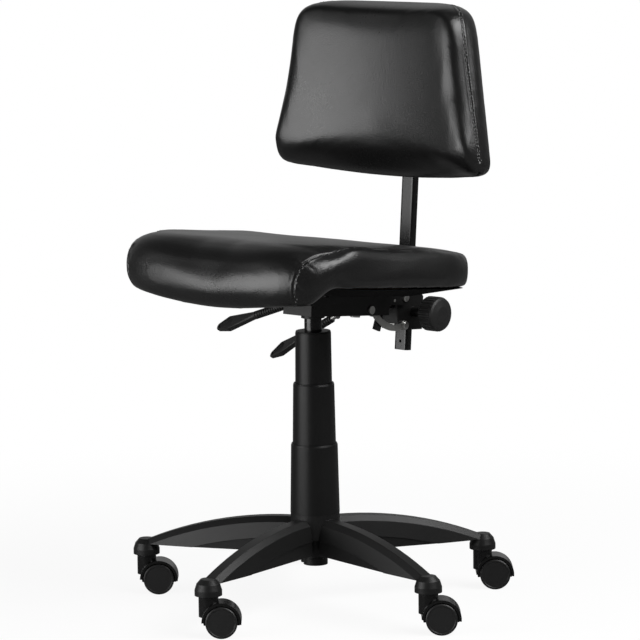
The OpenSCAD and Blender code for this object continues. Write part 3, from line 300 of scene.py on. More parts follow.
@dataclass(frozen=True)
class Leatherette(Finish):
    """Coated cloth with a fine pressed grain, soft creases and slightly uneven gloss."""

    grain: float = 540.0
    grain_depth: float = 0.2 * MM
    pore_share: float = 0.8
    fine_share: float = 0.35
    mottle_share: float = 1.4
    crease_stretch: Triple = (1.0, 1.4, 0.7)
    crease_depth: float = 0.77 * MM
    crease_share: float = 0.35
    spread: float = 0.1
    mottle_spread: float = 0.12
    lift: float = 1.6

    def detail(self, graph: Graph) -> Sockets:
        """Grain, creases and uneven gloss.

        Args:
            graph: Node graph of the material.

        Returns:
            Colour, roughness and normal of the surface.
        """
        at = graph.place()
        drift = graph.noise(at, per_metre=9.0)
        pores = graph.cells(at, self.grain, blur=0.6)
        fine = graph.noise(at, self.grain * 2.4, detail=2.0)
        creases = graph.noise(
            graph.place(self.crease_stretch), per_metre=26.0, detail=2.0, rough=0.4
        )
        swell = graph.noise(at, per_metre=11.0, detail=1.0)
        mottle = graph.noise(at, self.grain * 0.5, detail=4.0, rough=0.7)
        folds = creases * self.crease_share + swell
        fold = graph.bump(folds, self.crease_depth, strength=0.35)
        height = pores * self.pore_share + fine * self.fine_share + mottle * self.mottle_share
        uneven = (drift - 0.5) * self.spread
        return {
            "Roughness": self.rough + uneven + (mottle - 0.5) * self.mottle_spread,
            "Base Color": graph.blend(drift, self.tone, self.toned(self.lift)),
            "Normal": graph.bump(height, self.grain_depth, strength=0.8, under=fold),
        }


@dataclass(frozen=True)
class Moulding(Finish):
    """Moulded plastic: spark-eroded texture, rounded edges, faint flow marks and dust."""

    texture: float = 1400.0
    texture_depth: float = 0.05 * MM
    flow_stretch: Triple = (1.0, 1.0, 0.4)
    spread: float = 0.08
    texture_spread: float = 0.04
    lift: float = 1.5

    def detail(self, graph: Graph) -> Sockets:
        """Texture, rounded edges and flow marks.

        Args:
            graph: Node graph of the material.

        Returns:
            Colour, roughness and normal of the surface.
        """
        flow = graph.noise(graph.place(self.flow_stretch), per_metre=14.0, rough=0.55)
        texture = graph.noise(graph.place(), self.texture, detail=2.0, rough=0.6)
        edges = graph.soft_edge(self.edge)
        uneven = (flow - 0.5) * self.spread
        return {
            "Roughness": self.rough + uneven + texture * self.texture_spread,
            "Base Color": graph.blend(flow, self.tone, self.toned(self.lift)),
            "Normal": graph.bump(texture, self.texture_depth, strength=0.5, under=edges),
        }


@dataclass(frozen=True)
class Enamel(Finish):
    """Paint on steel: faint orange peel, rounded edges and rubbed spots."""

    peel: float = 260.0
    peel_depth: float = 0.03 * MM
    spread: float = 0.08
    worn_share: float = 0.6
    lift: float = 2.2

    def detail(self, graph: Graph) -> Sockets:
        """Orange peel, rounded edges and rubbed spots.

        Args:
            graph: Node graph of the material.

        Returns:
            Colour, roughness and normal of the surface.
        """
        at = graph.place()
        peel = graph.noise(at, self.peel, detail=2.0)
        worn = graph.noise(at, per_metre=60.0, detail=4.0, rough=0.65).step(0.56, 0.78)
        edges = graph.soft_edge(self.edge)
        light = self.toned(self.lift)
        return {
            "Roughness": self.rough + worn * self.spread,
            "Base Color": graph.blend(worn * self.worn_share, self.tone, light),
            "Normal": graph.bump(peel, self.peel_depth, strength=0.6, under=edges),
        }


@dataclass(frozen=True)
class Metal(Finish):
    """Plated or turned metal: fine lines, cloudy passivation and rounded edges."""

    line_stretch: Triple = (1.0, 1.0, 12.0)
    line_scale: float = 240.0
    line_depth: float = 0.02 * MM
    stain: Colour = (0.3, 0.3, 0.28, 1.0)
    stain_share: float = 0.3
    spread: float = 0.14
    cloud_spread: float = 0.08

    def detail(self, graph: Graph) -> Sockets:
        """Lines, clouding and rounded edges.

        Args:
            graph: Node graph of the material.

        Returns:
            Colour, roughness and normal of the surface.
        """
        lines = graph.noise(graph.place(self.line_stretch), self.line_scale, detail=2.0)
        cloud = graph.noise(graph.place(), per_metre=120.0, detail=4.0, rough=0.6)
        edges = graph.soft_edge(self.edge)
        uneven = (lines - 0.5) * self.spread
        dull = cloud.step(0.45, 0.8) * self.stain_share
        return {
            "Roughness": self.rough + uneven + cloud * self.cloud_spread,
            "Base Color": graph.blend(dull, self.tone, self.stain),
            "Normal": graph.bump(lines, self.line_depth, strength=0.5, under=edges),
        }


@dataclass(frozen=True)
class Plywood(Finish):
    """Sanded plywood with long grain."""

    grain_stretch: Triple = (2.0, 40.0, 60.0)
    pore_stretch: Triple = (10.0, 260.0, 260.0)
    pore_depth: float = 0.1 * MM
    dark: Colour = (0.36, 0.23, 0.12, 1.0)
    spread: float = 0.15

    def detail(self, graph: Graph) -> Sockets:
        """Grain along X and open pores.

        Args:
            graph: Node graph of the material.

        Returns:
            Colour, roughness and normal of the surface.
        """
        grain = graph.noise(graph.place(self.grain_stretch), per_metre=5.0, detail=5.0, rough=0.6)
        pores = graph.noise(graph.place(self.pore_stretch), per_metre=4.0, detail=2.0)
        edges = graph.soft_edge(self.edge)
        return {
            "Base Color": graph.blend(grain.step(0.3, 0.75), self.tone, self.dark),
            "Roughness": self.rough + pores * self.spread,
            "Normal": graph.bump(pores, self.pore_depth, strength=0.4, under=edges),
        }


@dataclass(frozen=True)
class Thread(Finish):
    """Twisted sewing thread."""

    twist: float = 2600.0
    twist_depth: float = 0.1 * MM
    spread: float = 0.2
    dark: float = 0.4

    def detail(self, graph: Graph) -> Sockets:
        """Twist of the thread.

        Args:
            graph: Node graph of the material.

        Returns:
            Colour, roughness and normal of the surface.
        """
        twist = graph.noise(graph.place(), self.twist, detail=2.0)
        return {
            "Roughness": self.rough + twist * self.spread,
            "Base Color": graph.blend(twist, self.tone, self.toned(self.dark)),
            "Normal": graph.bump(twist, self.twist_depth, strength=0.5),
        }


def plans() -> Dict[Slot, Finish]:
    """Finish of every slot.

    Returns:
        Each with its name, tone, roughness and level of gloss.
    """
    brass, wood = (0.7, 0.5, 0.22, 1.0), (0.6, 0.42, 0.24, 1.0)
    zinc = shade(0.52, (1.0, 1.0, 0.97))
    hood_texture = 0.02 * MM
    return {
        Slot.LEATHER: Leatherette("black_leatherette", shade(0.0035), 0.3, 0.44),
        Slot.BASE: Moulding("base_moulding", shade(0.0045), 0.4, 0.25, edge=0.9 * MM),
        Slot.COVER: Moulding("cover_moulding", shade(0.0035), 0.36, 0.21, edge=0.6 * MM),
        Slot.MOULDED: Moulding("grip_moulding", shade(0.006), 0.46, 0.33, edge=0.7 * MM),
        Slot.HOOD: Moulding(
            "hood_moulding", shade(0.003), 0.2, 0.27, edge=0.8 * MM, texture_depth=hood_texture
        ),
        Slot.WHEEL: Moulding("wheel_moulding", shade(0.007), 0.42, 0.32, edge=0.5 * MM),
        Slot.GUIDE: Moulding("guide_moulding", shade(0.3), 0.35, 0.5, edge=0.3 * MM),
        Slot.BLACK_METAL: Enamel("black_powder_coat", shade(0.004), 0.4, 0.22, edge=0.5 * MM),
        Slot.ENAMEL: Enamel("black_gloss_enamel", shade(0.003), 0.24, 0.4, edge=0.4 * MM),
        Slot.STEEL: Metal("zinc_plate", zinc, 0.3, metal=1.0, edge=0.3 * MM),
        Slot.SPRING: Metal("oiled_spring_steel", shade(0.12), 0.32, metal=1.0, edge=0.2 * MM),
        Slot.BRASS: Metal("turned_brass", brass, 0.28, metal=1.0, edge=0.2 * MM),
        Slot.RUBBER: Moulding("black_rubber", shade(0.006), 0.7, 0.25, edge=0.5 * MM),
        Slot.PLYWOOD: Plywood("sanded_plywood", wood, 0.55, edge=0.8 * MM),
    }


def dress(piece: bpy.types.Object, skin: bpy.types.Material) -> None:
    """Give a piece one material and smooth shading.

    Args:
        piece: The piece.
        skin: Its material.
    """
    piece.data.materials.clear()
    piece.data.materials.append(skin)
    piece.data.polygons.foreach_set("use_smooth", [True] * len(piece.data.polygons))


class Finishes:
    """All finishes of the chair, each made once.

    Attributes:
        SHARP: Angle from which an edge of a solid stays sharp.
    """

    SHARP = math.radians(28.0)

    def __init__(self) -> None:
        """Make every material."""
        self._made = {slot: plan.build() for slot, plan in plans().items()}
        rough = Moulding(
            "rough_pan_moulding", shade(0.003), 0.9, 0.03, edge=0.9 * MM, texture_depth=0.2 * MM
        )
        blackened = Metal(
            "blackened_steel", shade(0.02), 0.45, metal=1.0, edge=0.3 * MM, stain=shade(0.01)
        )
        cloth = Moulding("black_under_cloth", shade(0.004), 0.95, 0.04, texture_depth=0.3 * MM)
        self.special = {"seat_pan": rough.build(), "seat_screws": blackened.build()}
        self.cloth = cloth.build()
        # The real thread is black. Its grey tone of 0.2 is a painted highlight, so that the
        # stitches read as light specks.
        self.thread = Thread("black_thread_greyed_for_painted_glints", shade(0.2), 0.5, 0.4).build()

    def of(self, slot: Slot) -> bpy.types.Material:
        """Material of a slot."""
        return self._made[slot]

    def dress_nodes(self) -> None:
        """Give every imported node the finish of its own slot."""
        rows = frame["record"]["subparts"]
        slots = {row["node"]: Slot(row["material_slot"]) for row in rows}
        for name, node in frame["nodes"].items():
            dress(node, self.special.get(name) or self.of(slots[name]))
            node.data.set_sharp_from_angle(angle=self.SHARP)


def add(name: str, data: bpy.types.ID) -> bpy.types.Object:
    """Object with some data, linked to the scene.

    Args:
        name: Name of the object.
        data: Its mesh, lamp or camera.

    Returns:
        The new object.
    """
    made = bpy.data.objects.new(name, data)
    bpy.context.scene.collection.objects.link(made)
    return made


def from_bmesh(mesh: bmesh.types.BMesh, name: str) -> bpy.types.Object:
    """Turn a bmesh into an object and free it.

    Args:
        mesh: The finished bmesh.
        name: Name of the object and of its mesh.

    Returns:
        The new object.
    """
    data = bpy.data.meshes.new(name)
    mesh.to_mesh(data)
    mesh.free()
    return add(name, data)


def settle(
    piece: bpy.types.Object, body: str, skin: bpy.types.Material
) -> bpy.types.Object:
    """Dress a piece and set it on its body.

    Args:
        piece: The piece, its place already in its mesh.
        body: Body that carries it.
        skin: Its material.

    Returns:
        The same piece.
    """
    dress(piece, skin)
    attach(piece, body)
    LOG.info("%s: %d faces on %s", piece.name, len(piece.data.polygons), body)
    return piece


def aim(azimuth: float, elevation: float) -> Vector:
    """Direction at an azimuth from the front to the sitter's left and an elevation.

    Args:
        azimuth: Azimuth in radians.
        elevation: Elevation in radians.

    Returns:
        The direction, of length 1.
    """
    flat = math.cos(elevation)
    return Vector((math.sin(azimuth) * flat, -math.cos(azimuth) * flat, math.sin(elevation)))


def smooth(share: float) -> float:
    """Smooth step of a share, held between 0 and 1."""
    held = min(max(share, 0.0), 1.0)
    return held * held * (3.0 - 2.0 * held)


def bunched(value: float, power: float = 0.8) -> float:
    """Signed power of a value, which spreads points evenly over sides and corners."""
    return math.copysign(abs(value) ** power, value)


def oblong(turn: float, half_w: float, half_l: float, power: float) -> Vector:
    """Point of a rounded oblong at a turn in radians.

    Args:
        turn: Angle round the outline.
        half_w: Half of its width.
        half_l: Half of its length.
        power: Squareness of its corners.

    Returns:
        The point in the plane.
    """
    x, y = bunched(math.cos(turn)), bunched(math.sin(turn))
    k = (abs(x) ** power + abs(y) ** power) ** (-1.0 / power)
    return Vector((half_w * x * k, half_l * y * k, 0.0))


@dataclass
class Stitching:
    """Rows of stitches on a surface, all in one bmesh.

    Attributes:
        pitch: Distance from stitch to stitch.
        length: Length of a stitch.
        thick: Half of its thickness.
        proud: Height of its middle over the surface.
        mesh: Bmesh that takes the stitches.
        SIDES: Sides of a stitch.
        RINGS: Rings of a stitch.
    """

    pitch: float = 5.2 * MM
    length: float = 3.5 * MM
    thick: float = 0.7 * MM
    proud: float = 0.3 * MM
    mesh: bmesh.types.BMesh = field(default_factory=bmesh.new)
    SIDES = 6
    RINGS = 4

    def sew(
        self, skin: BVHTree, line: Sequence[Vector], up: Sequence[Vector], aside: float
    ) -> None:
        """Lay stitches along a line, moved sideways in the surface.

        Args:
            skin: Surface that carries them.
            line: Points on the surface, evenly spaced.
            up: Surface normals at those points.
            aside: Distance of the stitches from the line.
        """
        run = 0.0
        due = self.pitch / 2.0
        size = Matrix.Diagonal((self.length / 2.0, self.thick, self.thick, 1.0))
        for here, after, normal in zip(line, line[1:], up):
            along = after - here
            run += along.length
            if run < due or along.length < TINY:
                continue
            due += self.pitch
            along.normalize()
            side = along.cross(normal).normalized()
            spot, facing, _, _ = skin.find_nearest(here + side * aside)
            side = along.cross((facing + normal).normalized()).normalized()
            high = side.cross(along).normalized()
            turn = Matrix((along, side, high)).transposed().to_4x4()
            bmesh.ops.create_uvsphere(
                self.mesh,
                u_segments=self.SIDES,
                v_segments=self.RINGS,
                radius=1.0,
                matrix=Matrix.Translation(spot + high * self.proud) @ turn @ size,
            )


@dataclass(frozen=True)
class Filling:
    """Sizes of a cushion's simulation.

    Attributes:
        voxel: Size of the remesh.
        rounds: How often the swelling is averaged.
        pressure: Pressure inside.
        cap: Furthest that a point moves.
        form_rounds: How often the remeshed form is averaged.
        frames: Frames of the simulation.
    """

    voxel: float
    rounds: int
    pressure: float = 4.0
    cap: float = 5.0 * MM
    form_rounds: int = 2
    frames: int = 20


class Upholstery:
    """What the seat and the backrest share: filling by cloth simulation, seams and stitches.

    Attributes:
        COLUMNS: Meridians of a form.
        RINGS: Rings of a form.
        CLOTH: Settings of the simulated cover.
        TRACE_STEP: Spacing of the points of a seam.
        TRACE_SPAN: Neighbours on each side over which a seam's normals are averaged.
        PINCH_END: Reaches after which a pinch ends.
        PRESS_END: Half widths after which a seam's pull ends.
        VALLEY: Width of a seam's valley, in half widths.
        SHOULDER: Width of the roll beside it, in half widths.
    """

    COLUMNS = 192
    RINGS = 80
    CLOTH = {
        "quality": 5,
        "mass": 0.4,
        "tension_stiffness": 25.0,
        "compression_stiffness": 25.0,
        "shear_stiffness": 10.0,
        "bending_stiffness": 2.0,
        "use_pressure": True,
        "vertex_group_mass": "held",
    }
    TRACE_STEP = 1.3 * MM
    TRACE_SPAN = 4
    PINCH_END = 3.0
    PRESS_END = 2.5
    VALLEY = 0.5
    SHOULDER = 0.6

    def __init__(self, finishes: Finishes, form: Union["SeatForm", "BackForm"]) -> None:
        """Keep the finishes and the form.

        Args:
            finishes: All finishes of the chair.
            form: Sizes of the cushion.
        """
        self.finishes = finishes
        self.form = form

    def guide(self, points: Sequence[Triple], side: float) -> List[Vector]:
        """Points in millimetres in the cushion's frame, set on one side of the chair."""
        place = self.form.frame()
        return [place @ (Vector((side * x, y, z)) * MM) for x, y, z in points]

    def shell(self, name: str) -> bpy.types.Object:
        """Closed form from a sphere whose points are moved by the form's rule.

        Args:
            name: Name of the object.

        Returns:
            The object, its place in its mesh.
        """
        mesh = bmesh.new()
        bmesh.ops.create_uvsphere(mesh, u_segments=self.COLUMNS, v_segments=self.RINGS, radius=1.0)
        for vert in mesh.verts:
            turn = math.atan2(vert.co.y, vert.co.x)
            share = math.asin(min(max(vert.co.z, -1.0), 1.0)) / math.pi + 0.5
            vert.co = self.form.place(turn, share)
        bmesh.ops.recalc_face_normals(mesh, faces=mesh.faces[:])
        made = from_bmesh(mesh, name)
        made.data.transform(self.form.frame())
        return made

    @staticmethod
    def _bake(piece: bpy.types.Object) -> None:
        """Replace the mesh of a piece by its evaluated one and drop the modifiers.

        Args:
            piece: Piece to change.
        """
        graph = bpy.context.evaluated_depsgraph_get()
        data = bpy.data.meshes.new_from_object(piece.evaluated_get(graph), depsgraph=graph)
        piece.modifiers.clear()
        piece.data = data

    @staticmethod
    def _soften(piece: bpy.types.Object, moves: np.ndarray, rounds: int) -> np.ndarray:
        """Average a field of moves with its neighbours along the edges of a mesh.

        Args:
            piece: Piece whose edges join the points.
            moves: One row for each point.
            rounds: How often to average.

        Returns:
            The softened field.
        """
        pairs = np.empty(len(piece.data.edges) * 2, np.int32)
        piece.data.edges.foreach_get("vertices", pairs)
        first, second = pairs[0::2], pairs[1::2]
        many = np.bincount(pairs, minlength=len(moves)).clip(1)[:, None]
        for _ in range(rounds):
            total = np.zeros_like(moves)
            np.add.at(total, first, moves[second])
            np.add.at(total, second, moves[first])
            moves = 0.5 * moves + 0.5 * total / many
        return moves

    @staticmethod
    def _points(piece: bpy.types.Object) -> np.ndarray:
        """Points of a piece.

        Args:
            piece: The piece.

        Returns:
            One row for each point.
        """
        flat = np.empty(len(piece.data.vertices) * 3, np.float64)
        piece.data.vertices.foreach_get("co", flat)
        return flat.reshape(-1, 3)

    def _swell(self, piece: bpy.types.Object, plan: Filling) -> None:
        """Run the cloth simulation of a closed form that is held on its board or shell.

        Args:
            piece: Closed form, its place in its mesh.
            plan: Sizes of the simulation.
        """
        back = self.form.frame().inverted()
        pins = piece.vertex_groups.new(name="held")
        held = [i for i, vert in enumerate(piece.data.vertices) if self.form.held(back @ vert.co)]
        pins.add(held, 1.0, "REPLACE")
        cloth = piece.modifiers.new("cloth", "CLOTH")
        for name, value in self.CLOTH.items():
            setattr(cloth.settings, name, value)
        cloth.settings.uniform_pressure_force = plan.pressure
        cloth.settings.effector_weights.gravity = 0.0
        cloth.collision_settings.use_collision = False
        for step in range(1, plan.frames + 1):
            bpy.context.scene.frame_set(step)
        self._bake(piece)
        bpy.context.scene.frame_set(1)
        piece.vertex_groups.clear()

    def fill(self, piece: bpy.types.Object, plan: Filling) -> None:
        """Puff a closed form with a cloth simulation, then smooth it once.

        Args:
            piece: Closed form, its place in its mesh.
            plan: Sizes of the simulation.
        """
        remesh = piece.modifiers.new("voxel", "REMESH")
        remesh.mode = "VOXEL"
        remesh.voxel_size = plan.voxel
        self._bake(piece)
        start = self._soften(piece, self._points(piece), plan.form_rounds)
        self._swell(piece, plan)
        moves = self._points(piece) - start
        size = np.linalg.norm(moves, axis=1, keepdims=True).clip(TINY * MM)
        moves *= plan.cap * np.tanh(size / plan.cap) / size
        moves = self._soften(piece, moves, plan.rounds)
        furthest = np.linalg.norm(moves, axis=1).max() / MM
        LOG.info("%s: swells by up to %.1f mm", piece.name, furthest)
        start = start + moves
        piece.data.vertices.foreach_set("co", start.ravel())
        finer = piece.modifiers.new("finer", "SUBSURF")
        finer.levels = 1
        finer.render_levels = 1
        self._bake(piece)

    @staticmethod
    def surface(piece: bpy.types.Object) -> BVHTree:
        """Search tree of a piece's surface."""
        faces = [list(face.vertices) for face in piece.data.polygons]
        return BVHTree.FromPolygons([vert.co for vert in piece.data.vertices], faces)

    @staticmethod
    def _near(line: Sequence[Vector]) -> KDTree:
        """Search tree of a line's points.

        Args:
            line: Points of the line.

        Returns:
            The balanced tree.
        """
        tree = KDTree(len(line))
        for index, spot in enumerate(line):
            tree.insert(spot, index)
        tree.balance()
        return tree

    def trace(
        self, piece: bpy.types.Object, guide: Sequence[Vector]
    ) -> Tuple[List[Vector], List[Vector]]:
        """Lay a guide line onto a surface.

        Args:
            piece: Piece whose surface carries the line.
            guide: Rough points of the line.

        Returns:
            Evenly spaced points on the surface and the normals there.
        """
        surface = self.surface(piece)
        dense: List[Vector] = []
        for here, after in zip(guide, guide[1:]):
            count = max(1, int(math.ceil((after - here).length / self.TRACE_STEP)))
            dense += [here.lerp(after, k / count) for k in range(count)]
        dense.append(guide[-1])
        found = [surface.find_nearest(target)[:2] for target in dense]
        points, normals = [spot for spot, _ in found], [normal for _, normal in found]
        span = self.TRACE_SPAN
        soft = [
            sum(normals[max(0, k - span) : k + span + 1], Vector()).normalized()
            for k in range(len(normals))
        ]
        return points, soft

    def refine(self, piece: bpy.types.Object, line: Sequence[Vector], reach: float) -> None:
        """Split the mesh finer along a line, so that a narrow seam has points to follow.

        Args:
            piece: Piece to change.
            line: Points of the line.
            reach: Distance within which edges are split.
        """
        tree = self._near(line)
        mesh = bmesh.new()
        mesh.from_mesh(piece.data)
        near = {vert for vert in mesh.verts if tree.find(vert.co)[2] < reach}
        edges = [edge for edge in mesh.edges if near.issuperset(edge.verts)]
        bmesh.ops.subdivide_edges(mesh, edges=edges, cuts=1, use_grid_fill=True)
        bmesh.ops.triangulate(mesh, faces=[face for face in mesh.faces if len(face.verts) > 4])
        mesh.to_mesh(piece.data)
        mesh.free()

    def pinch(self, piece: bpy.types.Object, spot: Vector, out: Vector, reach: float) -> None:
        """Draw a small ear out of a surface, as where sewn corners meet.

        Args:
            piece: Piece to change.
            spot: Middle of the ear.
            out: Direction and height of the pull.
            reach: Radius of the ear.
        """
        for vert in piece.data.vertices:
            away = (vert.co - spot).length
            if away < reach * self.PINCH_END:
                vert.co += out * math.exp(-((away / reach) ** 2))

    def press(
        self,
        piece: bpy.types.Object,
        line: Sequence[Vector],
        deep: float,
        wide: float,
        ridge: float,
    ) -> None:
        """Press a seam into a surface, with a small roll on both sides.

        Args:
            piece: Piece to change.
            line: Points of the seam on it.
            deep: Depth of the seam.
            wide: Half width of the pull.
            ridge: Height of the roll beside it.
        """
        tree = self._near(line)
        piece.data.update()
        normals = [vert.normal.copy() for vert in piece.data.vertices]
        for vert, normal in zip(piece.data.vertices, normals):
            _, _, away = tree.find(vert.co)
            if away > wide * self.PRESS_END:
                continue
            valley = math.exp(-((away / (wide * self.VALLEY)) ** 2))
            shoulder = math.exp(-(((away - wide) / (wide * self.SHOULDER)) ** 2))
            vert.co += normal * (ridge * shoulder - deep * valley)

    def cover(self, piece: bpy.types.Object, body: str, node: str, full: float) -> None:
        """Dress a padded piece and let it stand for its node.

        Args:
            piece: The padded piece.
            body: Body that carries it.
            node: Node that it replaces.
            full: How full it is; not used.
        """
        settle(piece, body, self.finishes.of(Slot.LEATHER))
        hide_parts(node)


@dataclass
class SeatForm:
    """Sizes of the seat cushion, in its own tilted frame.

    Attributes:
        height: Height of the frame's origin over the floor.
        middle: Middle of the cushion along the seat.
        under: Height of the underside, side_h that of the side above it.
        roll_drop: Drop of the front roll below the underside.
        roll_from: Where the roll begins, roll_full where it is complete.
        roll_lift: Share by which the roll's ends stand higher.
        roll_pull: How much further forward the roll begins at its ends.
        rear_drop: Drop of the top at the rear, complete at rear_drop_to.
        low_edge: Rounding of the lower edge, low_roll_edge that of the roll's.
        high_edge: Rounding of the upper edge, high_roll_edge that of the roll's.
        slim: How much slimmer the filling form is.
        held_depth: Depth of what the board holds, from held_from to the rear.
        LOW_END: Share of the form's way at which the underside ends.
        HIGH_END: Share at which the top begins.
        FLAT: Share of the underside that is flat.
        SKIRT: The rest of it, which turns up to the edge.
        PULL_POWER: How far the pull on the roll keeps to its ends.
    """

    tilt: float = math.radians(5.5)
    height: float = 480.0 * MM
    half_w: float = 223.0 * MM
    half_l: float = 222.0 * MM
    middle: float = -40.5 * MM
    under: float = 47.0 * MM
    side_h: float = 63.0 * MM
    crown: float = -2.0 * MM
    roll_drop: float = 47.0 * MM
    roll_from: float = -148.0 * MM
    roll_full: float = -215.0 * MM
    roll_lift: float = 0.38
    roll_pull: float = 38.0 * MM
    roll_top_drop: float = 1.0 * MM
    rear_drop: float = 8.0 * MM
    rear_drop_to: float = 175.0 * MM
    low_edge: float = 12.0 * MM
    low_roll_edge: float = 36.0 * MM
    high_edge: float = 13.0 * MM
    high_roll_edge: float = 64.0 * MM
    round_power: float = 0.68
    crown_power: float = 2.2
    power: float = 5.2
    slim: float = 1.5 * MM
    held_depth: float = 6.0 * MM
    held_from: float = -168.0 * MM
    cloth_depth: float = 3.0 * MM
    LOW_END, HIGH_END = 0.22, 0.7
    FLAT, SKIRT = 0.8, 0.2
    PULL_POWER = 6

    def frame(self) -> Matrix:
        """Matrix from the cushion's frame to the row frame."""
        return Matrix.Translation((0.0, 0.0, self.height)) @ Matrix.Rotation(-self.tilt, 4, "X")

    def held(self, spot: Vector) -> bool:
        """Whether a point of the underside lies on the board."""
        return spot.z < self.under + self.held_depth and spot.y > self.held_from

    def front(self, y: float) -> float:
        """Share by which a point belongs to the front roll."""
        return smooth((self.roll_from - y) / (self.roll_from - self.roll_full))

    def low(self, x: float, y: float) -> float:
        """Height of the lower edge.

        Args:
            x: Place across the seat.
            y: Place along it.

        Returns:
            The height in the cushion's frame.
        """
        out = x / self.half_w
        roll = self.front(y + self.roll_pull * out**self.PULL_POWER)
        return self.under - self.roll_drop * roll * (1.0 - self.roll_lift * out**2)

    def high(self, y: float) -> float:
        """Height of the upper edge."""
        rear = self.rear_drop * smooth(y / self.rear_drop_to)
        return self.under + self.side_h - (self.roll_top_drop * self.front(y) + rear)

    def bulge(self, x: float, y: float) -> float:
        """Height of the crowned top over its edge.

        Args:
            x: Place across the seat.
            y: Place along it.

        Returns:
            The height over the edge.
        """
        u = min(abs(x) / (self.half_w - self.high_edge), 1.0)
        v = min(abs(y - self.middle) / (self.half_l - self.high_edge), 1.0)
        return self.crown * (1.0 - u**self.crown_power) * (1.0 - v**self.crown_power)

    def rim(self, turn: float, lean: float) -> Vector:
        """Point on the edge of the slightly slimmer filling form.

        Args:
            turn: Angle round the outline.
            lean: Angle from the lower to the upper side, within a quarter turn of 0.

        Returns:
            The point in the cushion's frame.
        """
        spot = oblong(turn, self.half_w, self.half_l, self.power)
        y = spot.y + self.middle
        plain, rolled = self.low_edge, self.low_roll_edge
        if lean > 0.0:
            plain, rolled = self.high_edge, self.high_roll_edge
        depth = plain + (rolled - plain) * self.front(y)
        inset = depth * (1.0 - abs(math.cos(lean)) ** self.round_power) + self.slim
        low, high = self.low(spot.x, y) + self.slim, self.high(y) - self.slim
        k = 1.0 - inset / spot.length
        middle = (low + high) / 2.0
        rise = middle + (high - middle) * math.sin(lean)
        return Vector((spot.x * k, self.middle + spot.y * k, rise))

    def underside(self, rim: Vector, k: float) -> Vector:
        """Point of the underside: flat on the board, then up to the edge.

        Args:
            rim: Point on the lower edge.
            k: Share of the way from the middle to it.

        Returns:
            The point in the cushion's frame.
        """
        mid = Vector((0.0, self.middle, self.under + self.slim))
        end_y = self.middle + (rim.y - self.middle) * self.FLAT
        end = Vector((rim.x * self.FLAT, end_y, mid.z))
        inner = mid.lerp(end, min(1.0, k * (1.0 / self.FLAT)))
        return inner if k < self.FLAT else inner.lerp(rim, smooth((k - self.FLAT) / self.SKIRT))

    def place(self, turn: float, share: float) -> Vector:
        """Point of the filling form.

        Args:
            turn: Angle round the outline.
            share: Share of the way from the lower to the upper pole.

        Returns:
            The point in the cushion's frame.
        """
        if share < self.LOW_END:
            return self.underside(self.rim(turn, -math.pi / 2.0), share / self.LOW_END)
        if share <= self.HIGH_END:
            way = (share - self.LOW_END) / (self.HIGH_END - self.LOW_END)
            return self.rim(turn, math.pi * (way - 0.5))
        rim = self.rim(turn, math.pi / 2.0)
        k = (1.0 - share) / (1.0 - self.HIGH_END)
        x, y = rim.x * k, self.middle + (rim.y - self.middle) * k
        top = self.high(y) - self.slim + self.bulge(x, y)
        return Vector((x, y, rim.z + (top - rim.z) * (1.0 - k * k)))


